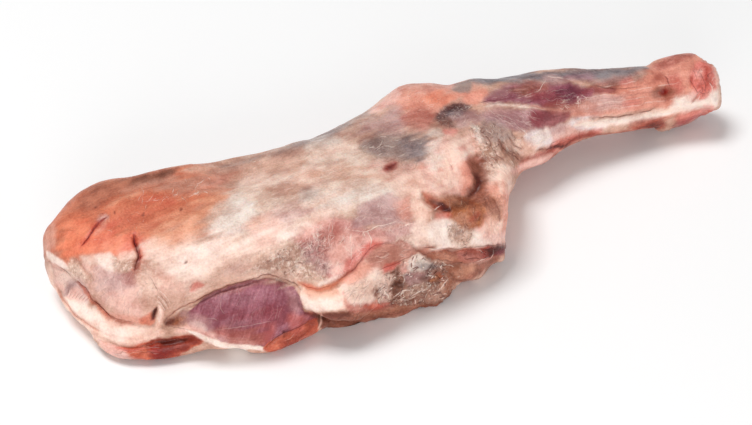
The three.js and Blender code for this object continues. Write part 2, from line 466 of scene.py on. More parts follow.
def strew(kind, count, length, width, force, turn, spread, outline):
    """Short bent threads strewn over a field: lengths are in mm, their turn and its spread in degrees."""
    edge = np.array(outline, float)
    closed = np.concatenate([edge, edge[:1]])
    left = count
    while left > 0:
        middle = chance.uniform(edge.min(0), edge.max(0))
        angle = math.radians(chance.normal(turn, spread))
        reach = length / MM_PER_PIXEL * chance.uniform(*STREWN_LENGTH)
        step = reach * np.array([math.cos(angle), -math.sin(angle)])
        bend = chance.normal(0, STREWN_BEND) * reach * np.array([math.sin(angle), math.cos(angle)])
        if inside(closed, middle[None])[0]:
            line = [middle - step, middle + bend, middle + step]
            thread(kind, width, force * chance.uniform(*STREWN_FORCE), line)
            left -= 1


# Outline
# Where the layers of meat swell past, or fall short of, the solid's plain form.
OUTLINE = [
    (dent, 12, -2.4, (75, 198)),
    (dent, 18, 5.4, (234, 160)),
    (dent, 10, 2.2, (320, 134)),
    (dent, 14, -3.2, (440, 84)),
    (dent, 8, -1.4, (404, 88)),
    (dent, 9, -3.4, (474, 84)),
    (dent, 12, -2.4, (636, 70)),
    (dent, 9, -2.0, (46, 268)),
    (dent, 12, -0.6, (542, 74)),
    (dent, 8, 1.0, (592, 69)),
    (dent, 9, -1.4, (690, 54)),
    (pull, 5, 6, 9, (500, 252)),
    (pull, 9, 6, 6, (511, 172)),
    (pull, 8, -2, -3, (48, 236)),
    (pull, 9, 0, -8, (678, 130)),
    (pull, 7, 3, -10, (700, 122)),
    (pull, 8, 0, -4, (688, 128)),
    (pull, 10, -1, -3, (96, 186)),
    (pull, 8, 0, 4, (530, 160)),
    (pull, 13, 0, 13, (346, 318)),
    (pull, 10, 2, 9, (395, 310)),
    (pull, 8, 0, 5, (372, 316)),
    (pull, 9, 2, 7, (436, 302)),
    (pull, 9, 4, 9, (474, 268)),
    (pull, 10, 0, 2, (610, 132)),
    (pull, 8, 0, 6, (546, 152)),
    (dent, 10, -1.4, (112, 182)),
    (pull, 8, 12, 0, (192, 342)),
    (pull, 5, 1, -2, (714, 66)),
    (pull, 5, 3, 2, (716, 104)),
]

# Top of the slab
# Fat and silverskin over the blade bone, drawn out lengthwise in pale, tan and lilac streaks.
PUCKER = [(401, 161), (404, 166), (409, 170), (415, 168), (416, 163)]
SLAB = [
    (patch, "pearl film", 9, 1,
     [(226, 204), (242, 180), (262, 160), (300, 148), (345, 128), (384, 112), (410, 140), (408, 170),
      (416, 200), (410, 228), (350, 230), (300, 240), (262, 252), (236, 244)], 22),
    (patch, "cream fat", 8, 1,
     [(150, 266), (162, 248), (190, 240), (212, 232), (240, 234), (264, 226), (300, 222), (306, 232),
      (280, 250), (250, 262), (215, 276), (196, 292), (168, 300), (148, 292)], 24),
    (patch, "white fat", 6, 0.7,
     [(160, 262), (184, 249), (206, 244), (220, 250), (210, 262), (188, 276), (166, 278)]),
    # Fat along the slab's crest: pale fat, lightened further as a painted highlight
    (patch, "white fat", 3.5, 0.8,
     [(262, 240), (274, 231), (294, 227), (304, 230), (290, 240), (270, 245)]),
    (patch, "cream fat", 5, 0.9, [(300, 216), (320, 204), (340, 200), (352, 206), (336, 214), (318, 220)]),
    (patch, "silverskin", 4.5, 0.8,
     [(204, 236), (212, 220), (226, 206), (240, 196), (254, 206), (262, 216), (262, 226), (240, 232)], 35),
    (patch, "silverskin", 6, 0.9,
     [(316, 204), (336, 194), (362, 186), (386, 188), (392, 200), (366, 202), (345, 204), (328, 210)]),
    (patch, "tan film", 6, 0.9,
     [(240, 176), (262, 160), (292, 154), (306, 160), (300, 174), (278, 180), (258, 186)]),
    (patch, "tan film", 6, 0.6,
     [(270, 170), (300, 166), (340, 166), (384, 172), (380, 182), (340, 182), (310, 180)]),
    (patch, "tan film", 4, 0.8, [(266, 190), (280, 180), (304, 180), (318, 186), (304, 194), (282, 196)]),
    (patch, "brown film", 3.5, 0.5, [(272, 190), (284, 182), (300, 182), (298, 190), (284, 195)]),
    (patch, "slate film", 4, 0.4, [(302, 190), (316, 187), (322, 196), (312, 202), (302, 200)]),
    (patch, "lilac film", 4, 0.8, [(262, 222), (272, 212), (292, 206), (312, 206), (304, 216), (284, 224)]),
    (patch, "blush film", 4, 0.9, [(246, 226), (258, 216), (276, 216), (282, 228), (274, 246), (258, 246)]),
    (patch, "apricot film", 4, 0.5, [(296, 178), (308, 170), (322, 172), (318, 182), (304, 184)]),
    (patch, "tan film", 5, 0.6,
     [(214, 276), (222, 264), (244, 258), (262, 258), (262, 268), (244, 278), (226, 284)]),
    (patch, "mauve film", 4, 0.3, [(222, 272), (230, 264), (250, 262), (256, 270), (240, 276)]),
    (patch, "tan film", 6, 0.5,
     [(176, 292), (196, 280), (220, 276), (240, 276), (236, 286), (206, 296), (186, 304)]),
    (patch, "brown film", 5, 0.8,
     [(318, 146), (330, 136), (350, 128), (376, 118), (402, 118), (404, 130), (370, 138), (346, 140)]),
    (patch, "mauve film", 5, 0.6, [(360, 122), (386, 112), (402, 116), (404, 134), (380, 136), (364, 132)]),
    (stroke, "brown film", 3, 2.5, 0.6, [(268, 160), (286, 155), (306, 151)]),
    (stroke, "brown film", 2, 2, 0.4, [(270, 176), (290, 170)]),
    (stroke, "cream fat", 2.4, 2.2, 0.7, [(240, 186), (254, 178), (268, 174)]),
    (stroke, "cream fat", 2, 2, 0.7, [(300, 172), (312, 168), (324, 168)]),
    (patch, "tan film", 4, 0.7, [(328, 170), (340, 164), (352, 168), (346, 178), (334, 178)]),
    (patch, "brown film", 3, 0.6, [(370, 160), (380, 155), (390, 158), (386, 166), (374, 168)]),
    (stroke, "grey film", 2.5, 2.5, 0.7, [(262, 157), (290, 148), (320, 138), (350, 121), (375, 108)]),
    (stroke, "slate film", 1.4, 1.4, 0.5, [(290, 147), (322, 136), (350, 122)]),
    (stroke, "silverskin", 2.4, 2.2, 0.8, [(304, 148), (324, 142), (342, 142)]),
    (stroke, "cream fat", 2, 2, 0.7, [(310, 160), (330, 152), (350, 148), (358, 150)]),
    (stroke, "cream fat", 2, 2, 0.6, [(250, 188), (290, 178), (330, 186), (350, 186)]),
    (stroke, "cream fat", 1.6, 1.6, 0.5, [(300, 208), (330, 196), (352, 190)]),
    (stroke, "white fat", 1.4, 1.4, 0.5, [(205, 262), (240, 244), (275, 228)]),
    (stroke, "brown film", 1, 1, 0.4, [(270, 172), (300, 168)]),
    (stroke, "brown film", 1, 1, 0.4, [(268, 208), (300, 199)]),
    (stroke, "brown film", 1, 1, 0.35, [(310, 186), (340, 178)]),
    (stroke, "brown film", 1, 1, 0.4, [(325, 164), (345, 160)]),
    (stroke, "lilac film", 1, 1, 0.4, [(222, 236), (246, 226)]),
    (stroke, "lilac film", 1, 1, 0.4, [(236, 210), (250, 198)]),
    (stroke, "rust film", 0.8, 0.9, 0.5, [(330, 180), (350, 178), (372, 177), (396, 181)]),
    (stroke, "rust film", 0.7, 0.8, 0.4, [(336, 172), (356, 168), (376, 170)]),
    (stroke, "rust film", 2, 1.8, 0.45, [(246, 226), (256, 222), (266, 219)]),
    (stroke, "cream fat", 1.6, 1.4, 0.5, [(372, 196), (384, 195)]),
    (strew, "dark", 40, 5, 0.16, 0.25, 22, 8, [(250, 180), (330, 160), (390, 176), (330, 200), (262, 222)]),
    (strew, "pale", 40, 7, 0.2, 0.3, 22, 8, [(250, 180), (330, 160), (390, 176), (330, 200), (230, 250)]),
    (patch, "grey film", 4, 1,
     [(360, 147), (366, 137), (402, 135), (430, 134), (436, 150), (424, 162), (390, 160), (374, 156)], 14),
    (patch, "slate film", 3.5, 0.6, [(404, 142), (430, 140), (434, 152), (420, 158), (406, 152)]),
    (stroke, "bruise", 3, 3, 0.3, [(370, 152), (378, 149), (386, 150)]),
    (stroke, "bruise", 3, 3, 0.25, [(404, 140), (410, 146), (408, 154)]),
    (stroke, "brown film", 2, 1.8, 0.7, [(358, 143), (364, 137), (376, 136)]),
    (stroke, "silverskin", 2.5, 2, 0.6, [(434, 142), (436, 150), (436, 160)]),
    (strew, "pale", 16, 4, 0.2, 0.4, 14, 15,
     [(358, 148), (366, 138), (404, 136), (430, 142), (428, 154), (380, 156)]),
    (patch, "pink fat", 4, 0.5,
     [(372, 168), (386, 162), (404, 164), (420, 168), (420, 178), (396, 178), (380, 176)]),
    (patch, "brown film", 3, 0.5, [(384, 164), (394, 157), (406, 162), (414, 170), (402, 174), (390, 174)]),
    (stroke, "blood", 2, 1.8, 0.95, [(383, 170), (389, 168), (394, 166), (398, 163)]),
    (stroke, "dark fold", 0.8, 0.8, 0.5, [(388, 168), (392, 167), (396, 165)]),
    (dent, 2, 1.2, (392, 167)),
    (stroke, "rose muscle", 1.5, 1.5, 0.4, [(418, 166), (426, 168), (434, 170)]),
    (groove, 1, 0.5, PUCKER),
    (thread, "dark", 0.16, 0.3, PUCKER),
    (stroke, "lilac film", 1.4, 1.2, 0.5, [(404, 164), (408, 167), (413, 165)]),
]

# Blade end
# The outer skin, the fell, has dried to orange and brown over the broad end. A knife nicked it twice.
SLIT = [(108, 215), (100, 222), (93, 231), (86, 239), (79, 249)]
CREASE = [(133, 234), (135, 243), (138, 254), (138, 262), (134, 275)]
BLADE_END = [
    (patch, "fell", 6, 1,
     [(38, 250), (42, 222), (58, 198), (86, 180), (130, 170), (180, 164), (216, 172), (222, 188),
      (214, 202), (200, 216), (182, 230), (160, 238), (140, 246), (120, 254), (98, 258), (80, 262),
      (64, 266), (54, 260)], 22),
    (patch, "apricot film", 7, 0.9,
     [(148, 248), (158, 228), (178, 214), (198, 200), (218, 190), (222, 196), (214, 208), (206, 222),
      (200, 234), (180, 246), (160, 254)], 35),
    (patch, "bright fell", 7, 0.85,
     [(58, 250), (64, 228), (80, 214), (92, 226), (112, 230), (132, 234), (144, 240), (130, 248),
      (104, 252), (82, 258), (66, 260)]),
    (patch, "bright fell", 4, 0.5, [(104, 206), (114, 201), (126, 198), (120, 206), (108, 212)]),
    (patch, "red fell", 4, 0.5, [(84, 240), (100, 226), (116, 226), (110, 240), (96, 248)]),
    (patch, "bright fell", 3, 0.7, [(84, 256), (96, 244), (118, 240), (130, 246), (128, 256), (104, 260)]),
    (patch, "coral film", 4, 0.2, [(90, 250), (110, 240), (128, 246), (126, 256), (100, 258)]),
    (patch, "peach fat", 2, 0.35, [(42, 246), (46, 232), (53, 222), (56, 232), (53, 246), (48, 252)]),
    (patch, "brown fell", 6, 0.8,
     [(62, 210), (80, 194), (104, 186), (126, 184), (122, 193), (100, 203), (80, 212)]),
    (patch, "brown fell", 2.5, 1,
     [(88, 192), (104, 182), (130, 174), (176, 166), (172, 178), (146, 186), (112, 193)]),
    (patch, "dark fell", 1.8, 0.8,
     [(126, 184), (140, 176), (158, 172), (174, 171), (168, 178), (150, 183)]),
    (patch, "dusty fell", 5, 0.9,
     [(152, 186), (176, 178), (205, 174), (240, 168), (240, 177), (224, 188), (198, 191), (176, 192)]),
    (patch, "red muscle", 4, 0.35, [(204, 182), (214, 176), (230, 174), (222, 182)]),
    (patch, "red fell", 6, 0.4, [(104, 226), (116, 216), (150, 204), (176, 204), (150, 214), (124, 226)]),
    (stroke, "tan film", 3, 2.5, 0.8, [(184, 170), (212, 167), (240, 163), (258, 160)]),
    (stroke, "grey film", 2, 1.8, 0.6, [(220, 168), (240, 163), (262, 156)]),
    (stroke, "brown film", 1.6, 1.6, 0.6, [(206, 174), (226, 170), (244, 166), (258, 162)]),
    (stroke, "dark fell", 0.9, 1.2, 0.4, [(62, 206), (80, 192), (104, 184), (134, 177)]),
    (stroke, "apricot film", 1.3, 1.3, 0.6, [(104, 209), (114, 203), (126, 197), (142, 193)]),
    (stroke, "dusty fell", 2.5, 2, 0.5, [(120, 192), (140, 187), (160, 183), (184, 179)]),
    (stroke, "coral film", 1.4, 1.6, 0.4, [(198, 188), (212, 186), (222, 182)]),
    (stroke, "red fell", 2.4, 2.4, 0.45, [(76, 254), (82, 244), (90, 238)]),
    (stroke, "red fell", 2, 2, 0.4, [(93, 239), (99, 241), (104, 238)]),
    (stroke, "red fell", 2.6, 2.6, 0.45, [(106, 226), (113, 222), (122, 219)]),
    (stroke, "red fell", 2, 2, 0.4, [(150, 198), (164, 200), (176, 203)]),
    (stroke, "red fell", 2, 2, 0.4, [(122, 244), (128, 240), (133, 243)]),
    (stroke, "red fell", 2.4, 2.4, 0.35, [(136, 198), (150, 199), (160, 199)]),
    (stroke, "brown fell", 2, 2, 0.4, [(54, 244), (60, 238), (64, 228)]),
    (stroke, "brown fell", 1.2, 1.2, 0.5, [(54, 250), (60, 256), (68, 262)]),
    (stroke, "pearl film", 2.2, 2, 0.6, [(206, 222), (214, 212), (222, 202)]),
    (strew, "dark", 60, 1, 0.24, 0.4, 20, 60,
     [(60, 240), (70, 208), (120, 190), (200, 180), (210, 205), (150, 236), (90, 252)]),
    (strew, "dark", 26, 6, 0.16, 0.25, 20, 14,
     [(66, 220), (90, 200), (150, 182), (215, 176), (200, 205), (130, 230)]),
    (strew, "pale", 22, 4, 0.15, 0.5, 10, 50,
     [(112, 204), (140, 190), (200, 176), (222, 182), (205, 196), (150, 206)]),
    (strew, "pale", 12, 2.5, 0.14, 0.4, 10, 50, [(70, 230), (100, 210), (150, 206), (140, 230), (90, 246)]),
    (thread, "pale", 0.18, 0.7,
     [(172, 193), (173, 190), (174, 188)], [(192, 194), (196, 194), (200, 192)],
     [(197, 184), (200, 183), (204, 180)], [(204, 191), (206, 192), (209, 193)],
     [(252, 163), (255, 162), (258, 161)]),
    (stroke, "dark fold", 0.7, 0.6, 0.8, [(113, 213), (115, 213)]),
    (stroke, "dark fold", 0.6, 0.6, 0.7, [(94, 208), (96, 208)]),
    (stroke, "dark fold", 0.6, 0.6, 0.7, [(142, 215), (144, 215)]),
    (stroke, "dark fold", 0.7, 0.6, 0.8, [(179, 211), (181, 211)]),
    (stroke, "dark fold", 0.7, 0.6, 0.9, [(184, 262), (187, 262)]),
    (groove, 2, 0.6, [(112, 198), (133, 191), (155, 184), (177, 177)]),
    (ledge, 1.0, 9, 0.8,
     [(235, 166), (205, 173), (177, 179), (155, 188), (133, 194), (118, 202), (104, 211)]),
    (groove, 0.9, 1.0, SLIT),
    (stroke, "lilac film", 2, 1.6, 0.6, [(108, 216), (103, 219), (97, 223)]),
    (stroke, "coral film", 1.4, 1.4, 0.6, [(106, 224), (100, 229), (94, 234)]),
    (stroke, "red fell", 1.4, 1.2, 0.9, [(104, 219), (96, 227), (88, 237), (80, 249)]),
    (stroke, "blood", 0.6, 0.6, 0.9, [(106, 217), (98, 225), (90, 235), (82, 246)]),
    (thread, "dark", 0.3, 0.6, [(106, 217), (100, 222), (94, 230), (88, 237), (81, 247)]),
    (groove, 1.1, 2.0, CREASE),
    (patch, "rose muscle", 1.8, 0.7, [(130, 267), (136, 262), (142, 268), (141, 277), (132, 278)]),
    (patch, "red fell", 3, 0.7, [(122, 256), (126, 238), (134, 230), (144, 240), (144, 262), (134, 262)]),
    (stroke, "brick flesh", 1.6, 1.2, 0.9, CREASE),
    (stroke, "blood", 0.9, 0.7, 1, CREASE),
    (thread, "dark", 0.35, 0.8, [(133, 236), (136, 248), (138, 258), (136, 268), (134, 276)]),
    (thread, "dark", 0.2, 0.4, [(138, 258), (141, 257), (143, 256)]),
    (stroke, "rose muscle", 0.8, 1, 0.4, [(134, 276), (134, 288), (135, 302)]),
    (stroke, "rose muscle", 0.8, 1, 0.4, [(142, 262), (150, 268), (155, 278), (157, 288), (162, 296)]),
    (groove, 1.2, 0.7, [(140, 262), (153, 270), (156, 282), (162, 294), (168, 305)]),
]

# Near corner of the blade
# Where the fell stops, thin lilac film lies over the muscle; below its rim the lower layer curls out
# in a roll of fat, and a red flap hangs under that.
CURL = [(74, 260), (82, 266), (88, 274), (94, 281)]
RIM = [(46, 258), (56, 266), (68, 272), (78, 281), (86, 288), (91, 298), (100, 306), (110, 315),
       (118, 319), (132, 322), (146, 325)]
ROLL_FOLD = [(56, 286), (62, 298), (72, 313), (84, 322), (98, 330), (108, 338)]
SPLIT = [(158, 307), (155, 313), (152, 320)]
SINEW = [(159, 305), (161, 314), (158, 324), (153, 332)]
CORNER_FILM = [(92, 270), (130, 272), (150, 300), (130, 316), (104, 300)]
PLEATS = [
    [(160, 291), (167, 297), (171, 305)],
    [(157, 296), (164, 301), (168, 309)],
    [(156, 301), (162, 305), (165, 311)],
]
RIBS = range(7)
RIB_LINES = [[(66 + 3.2 * rib, 296 + rib), (70 + 3 * rib, 288 + 1.6 * rib)] for rib in RIBS]
RIB_LIGHTS = [[(68 + 3.2 * rib, 296 + rib), (72 + 3 * rib, 288 + 1.6 * rib)] for rib in RIBS]
POUCH_LINES = [
    [(57 + 3 * rib, 279 + 3 * rib), (61 + 3 * rib, 276 + 3 * rib), (64 + 3 * rib, 276 + 3 * rib)]
    for rib in range(4)
]
CORNER = [
    (patch, "blush film", 4, 1,
     [(80, 262), (98, 262), (112, 270), (134, 270), (150, 268), (172, 276), (186, 290), (180, 304),
      (160, 304), (154, 322), (132, 322), (116, 318), (100, 304), (90, 292), (80, 278)], 70),
    (patch, "lilac film", 4, 0.9, [(92, 270), (108, 266), (130, 272), (134, 290), (118, 300), (102, 292)]),
    (patch, "mauve film", 3.5, 0.5, [(108, 276), (122, 270), (132, 276), (130, 286), (116, 290)]),
    (patch, "red muscle", 3, 0.45, [(122, 270), (134, 272), (133, 284), (124, 284)]),
    (patch, "pink fat", 4, 0.7, [(106, 292), (124, 288), (136, 296), (146, 310), (132, 314), (114, 308)]),
    (patch, "tan film", 4, 0.65, [(138, 300), (146, 290), (168, 290), (190, 298), (176, 308), (150, 314)]),
    (patch, "peach fat", 4, 0.6, [(138, 276), (152, 274), (158, 288), (148, 294), (138, 290)]),
    (patch, "cream fat", 2.2, 0.8, [(80, 258), (90, 255), (98, 256), (98, 264), (88, 264)]),
    (patch, "white fat", 1.8, 0.8,
     [(96, 258), (104, 253), (113, 254), (118, 260), (113, 270), (106, 272), (99, 266)]),
    (patch, "beige crumb", 2, 0.7,
     [(113, 256), (124, 256), (135, 254), (136, 266), (126, 271), (114, 268)]),
    (patch, "peach fat", 1.6, 0.5, [(118, 254), (128, 250), (135, 252), (134, 260), (122, 260)]),
    (patch, "cream fat", 5, 0.7, [(142, 246), (152, 242), (170, 246), (176, 262), (160, 268), (146, 262)]),
    (patch, "beige crumb", 3, 0.4, [(138, 264), (154, 266), (158, 284), (150, 292), (138, 286)]),
    (patch, "beige crumb", 1.8, 0.8, [(68, 263), (75, 261), (86, 272), (92, 281), (82, 281), (73, 274)]),
    (groove, 0.9, 0.9, CURL),
    (stroke, "brown flesh", 0.7, 0.8, 0.6, CURL),
    *[(groove, 0.8, -0.5, line) for line in PLEATS],
    (thread, "pale", 0.25, 0.5, *PLEATS),
    (thread, "dark", 0.2, 0.4,
     [(162, 296), (167, 302), (170, 309)], [(158, 299), (163, 304), (166, 310)],
     [(150, 276), (154, 284), (158, 292)]),
    (stroke, "rose muscle", 1.8, 1.4, 0.7, [(190, 291), (196, 285), (204, 285)]),
    (thread, "dark", 0.2, 0.5, [(188, 291), (194, 283), (203, 283)]),
    (strew, "pale", 26, 6, 0.18, 0.35, 70, 25, CORNER_FILM),
    (strew, "dark", 20, 4, 0.16, 0.25, 70, 25, CORNER_FILM),
    (groove, 1.0, 1.8, RIM),
    (ledge, 1.4, 6, 0.5, RIM),
    (patch, "peach fat", 2.5, 1,
     [(62, 296), (76, 300), (90, 306), (104, 316), (120, 323), (140, 326), (158, 328), (166, 334),
      (150, 343), (128, 345), (106, 340), (88, 330), (72, 314)], 30),
    (patch, "pink fat", 1.8, 1,
     [(52, 262), (60, 268), (74, 278), (84, 290), (88, 302), (76, 302), (64, 294), (55, 282)], 40),
    (patch, "cream fat", 2.5, 0.7, [(54, 270), (64, 272), (76, 278), (70, 284), (60, 284)]),
    (patch, "white fat", 3, 0.9, [(68, 302), (84, 302), (98, 313), (106, 326), (92, 322), (76, 312)]),
    (patch, "white fat", 2.5, 0.6, [(100, 326), (116, 328), (130, 334), (120, 342), (104, 338)]),
    (patch, "coral film", 2, 0.6, [(98, 309), (112, 312), (132, 316), (146, 320), (130, 326), (110, 321)]),
    (stroke, "mauve film", 2.2, 1.6, 0.7, [(64, 296), (69, 287), (76, 282), (82, 286), (88, 296)]),
    (stroke, "bruise", 1.2, 1, 0.4, [(65, 295), (69, 288), (75, 283)]),
    *[(groove, 0.6, 0.5, line) for line in RIB_LINES],
    (thread, "dark", 0.18, 0.45, *RIB_LINES),
    (thread, "pale", 0.2, 0.4, *RIB_LIGHTS),
    (thread, "dark", 0.16, 0.3, *POUCH_LINES),
    (patch, "orange flesh", 0.9, 0.6,
     [(78, 281), (85, 287), (91, 297), (101, 306), (111, 316), (104, 314), (94, 305), (86, 297)]),
    (stroke, "brick flesh", 0.7, 0.8, 0.4, [(79, 283), (86, 290), (92, 299), (101, 308)]),
    (thread, "dark", 0.25, 0.7, [(78, 281), (86, 288), (91, 298), (100, 306), (110, 315)]),
    (thread, "dark", 0.22, 0.5,
     [(108, 314), (118, 319), (132, 322)], [(48, 260), (56, 266), (64, 270), (72, 277)]),
    (stroke, "white fat", 1.9, 0.8, 0.9, [(46, 251), (53, 258), (60, 263), (69, 269)]),
    (stroke, "cream fat", 1, 0.8, 0.9, [(66, 269), (72, 276), (78, 280)]),
    (stroke, "peach fat", 1.8, 1, 0.9,
     [(50, 264), (51, 280), (57, 296), (66, 310), (80, 325), (97, 338), (110, 344)]),
    (stroke, "orange flesh", 0.9, 0.9, 0.5,
     [(55, 284), (60, 294), (66, 304), (76, 316), (88, 324), (98, 330)]),
    (groove, 1, 1.2, ROLL_FOLD),
    (thread, "dark", 0.16, 0.35, [(58, 290), (66, 304), (76, 316), (90, 325), (100, 332)]),
    (stroke, "blush film", 0.8, 1, 0.5, [(104, 334), (120, 338), (140, 339)]),
    (stroke, "blush film", 0.8, 1, 0.5, [(120, 342), (138, 343), (152, 338)]),
    (patch, "orange flesh", 1.2, 0.8, [(140, 323), (145, 317), (152, 314), (155, 318), (150, 324)]),
    (groove, 1.0, 2.4, SPLIT),
    # Painted shade in the split
    (stroke, "dark fold", 0.9, 0.6, 1, SPLIT),
    (groove, 1.5, -1.6, SINEW),
    (stroke, "peach fat", 1.8, 0.8, 0.9, SINEW),
    (stroke, "white fat", 0.8, 0.8, 0.6, [(160, 308), (161, 315), (158, 322)]),
    (groove, 1.5, 2.6, [(96, 340), (120, 346), (140, 346), (158, 341), (175, 340), (194, 341)]),
    (patch, "orange flesh", 0.7, 1,
     [(108, 347), (130, 346), (150, 342), (170, 338), (192, 338), (204, 342), (186, 353), (165, 361),
      (145, 362), (125, 356)], 10),
    (patch, "pink fat", 1.6, 1, [(98, 340), (108, 344), (122, 348), (128, 356), (112, 358)]),
    (patch, "brick flesh", 1.8, 1,
     [(146, 346), (160, 343), (184, 344), (190, 350), (170, 360), (150, 360)]),
    (patch, "blood", 2, 0.7, [(150, 346), (164, 346), (172, 354), (156, 360)]),
    (patch, "brick flesh", 0.9, 0.9,
     [(150, 342), (160, 338), (180, 336), (202, 339), (196, 346), (170, 347), (158, 347)]),
    # Painted shade in the cavity between the flap and the lean's tip
    (patch, "dark fold", 1.2, 0.8, [(158, 342), (168, 339), (186, 339), (184, 343), (168, 345)]),
    (stroke, "lilac film", 1.4, 1, 0.6, [(114, 354), (130, 359), (146, 361)]),
    (stroke, "rose muscle", 1, 0.8, 0.6, [(116, 348), (130, 350), (144, 348)]),
    (stroke, "coral film", 0.7, 0.6, 0.5, [(134, 344), (142, 346), (150, 347)]),
    (strew, "pale", 5, 6, 0.2, 0.25, 5, 8, [(112, 350), (150, 344), (190, 344), (160, 356), (130, 356)]),
    (strew, "dark", 16, 6, 0.2, 0.45, 5, 12, [(112, 350), (150, 344), (190, 344), (160, 358), (130, 356)]),
]

# Bare muscle in the near side
# An oval of lean meat under the cut edge of the fell, sheathed in white at its tip and lower rim.
EDGE = [(164, 322), (170, 315), (180, 308), (192, 302), (206, 296), (220, 289), (235, 284), (248, 281),
        (258, 277), (268, 274), (280, 277), (292, 281), (300, 289)]
EDGE_FOOT = [(x, y + 3) for x, y in EDGE]
TAIL = [(264, 351), (270, 343), (280, 334), (296, 328), (316, 318)]
LEAN_OVAL = [(206, 312), (230, 296), (284, 288), (290, 312), (262, 334), (214, 330)]
TAIL_LEAN = [(268, 350), (284, 338), (312, 324), (312, 336), (290, 350)]
BARE_MUSCLE = [
    (groove, 0.8, 1.0, EDGE_FOOT),
    (ledge, 1.1, 9, 0.5, EDGE),
    (patch, "purple muscle", 0.5, 1,
     [(186, 315), (200, 301), (222, 289), (250, 281), (275, 278), (292, 285), (301, 298), (304, 310),
      (316, 318), (300, 328), (280, 336), (266, 346), (250, 346), (225, 342), (205, 336), (190, 327)], 72),
    (patch, "deep purple", 5, 0.12,
     [(232, 294), (262, 286), (284, 290), (284, 300), (262, 302), (240, 302)]),
    (patch, "lilac film", 3, 0.3, [(286, 288), (294, 290), (300, 298), (302, 308), (294, 314), (288, 302)]),
    (patch, "wine muscle", 6, 0.5,
     [(216, 316), (232, 312), (262, 308), (284, 308), (288, 322), (268, 330), (240, 326), (220, 322)]),
    (patch, "wine muscle", 4, 0.5, [(256, 310), (274, 306), (286, 314), (282, 324), (264, 324)]),
    (patch, "rose muscle", 3, 0.5, [(258, 334), (268, 328), (276, 328), (272, 340), (262, 346)]),
    (patch, "red muscle", 4, 0.9, [(208, 330), (236, 328), (262, 334), (262, 346), (240, 344), (212, 338)]),
    (patch, "wine muscle", 4, 0.35,
     [(212, 322), (240, 320), (266, 324), (264, 338), (236, 338), (212, 334)]),
    # Painted shadow: a faint brown band under the fell's cut edge, where it hangs over the muscle
    (patch, "brown flesh", 1.2, 0.35,
     [(200, 300), (220, 291), (236, 286), (256, 280), (276, 277), (290, 283), (276, 285), (254, 287),
      (220, 297)]),
    (patch, "lilac film", 2.4, 0.45,
     [(186, 320), (196, 314), (206, 316), (210, 324), (214, 336), (200, 334), (187, 327)]),
    (patch, "pink fat", 2.5, 0.8, [(176, 330), (190, 326), (206, 330), (214, 338), (200, 336), (184, 334)]),
    (stroke, "white fat", 1.8, 1.8, 0.4, [(190, 324), (198, 324), (206, 330)]),
    # The pocket dented below: brown and dark red, partly painted shade in the recess
    (patch, "brown flesh", 1.4, 0.8,
     [(164, 322), (172, 316), (184, 312), (189, 317), (184, 325), (170, 326)]),
    (patch, "dark fold", 1.4, 0.7, [(165, 322), (171, 318), (176, 318), (177, 322), (171, 325)]),
    (patch, "mauve film", 2, 0.6, [(180, 314), (188, 312), (190, 322), (182, 324)]),
    (stroke, "amber flesh", 1.2, 1.2, 0.5, [(174, 324), (180, 320), (186, 319)]),
    (stroke, "cream fat", 0.9, 0.8, 0.5, [(176, 313), (184, 309), (190, 309)]),
    (dent, 2.6, 2.2, (173, 320)),
    # A painted shadow line along the fell's cut edge
    (stroke, "brown flesh", 0.7, 0.7, 0.5, EDGE),
    (thread, "dark", 0.28, 0.6, EDGE),
    (thread, "dark", 0.2, 0.4, [(166, 325), (178, 328), (190, 331)]),
    (stroke, "white fat", 1.6, 0.5, 1,
     [(186, 331), (198, 336), (210, 341), (224, 345), (240, 347), (256, 348), (270, 351)]),
    (stroke, "pink fat", 1.6, 1.4, 0.35, [(204, 334), (220, 339), (240, 342), (256, 343)]),
    (groove, 1, 0.9, [(205, 334), (225, 339), (245, 341), (262, 346)]),
    (strew, "pale", 16, 9, 0.14, 0.13, 75, 6, LEAN_OVAL),
    (strew, "dark", 34, 7, 0.18, 0.25, 75, 14, LEAN_OVAL),
    (thread, "pale", 0.16, 0.25,
     [(222, 296), (221, 306), (226, 317)], [(237, 289), (240, 297), (236, 306)],
     [(206, 318), (213, 318), (217, 320)]),
    (thread, "pale", 0.18, 0.2, [(216, 330), (232, 328), (250, 325), (272, 322)]),
    (groove, 1, 1.4, TAIL),
    (patch, "orange flesh", 0.5, 0.95,
     [(262, 350), (268, 343), (280, 335), (298, 328), (314, 318), (320, 322), (316, 336), (302, 346),
      (282, 353)]),
    (patch, "brick flesh", 2, 0.6,
     [(276, 342), (284, 334), (300, 330), (312, 326), (304, 340), (286, 348)]),
    (patch, "rose muscle", 2.5, 0.5, [(288, 316), (299, 314), (304, 326), (294, 336)]),
    (patch, "brick flesh", 1.4, 0.4, [(300, 314), (312, 312), (319, 316), (312, 325), (302, 325)]),
    (stroke, "blood", 1.4, 1.2, 0.6, [(308, 314), (313, 313), (317, 316)]),
    (stroke, "dark fold", 0.8, 0.8, 0.6, [(281, 330), (284, 334), (283, 338)]),
    (thread, "dark", 0.25, 0.5, TAIL),
    (strew, "pale", 4, 6, 0.2, 0.25, 35, 8, TAIL_LEAN),
    (strew, "dark", 12, 5, 0.2, 0.4, 35, 15, TAIL_LEAN),
]

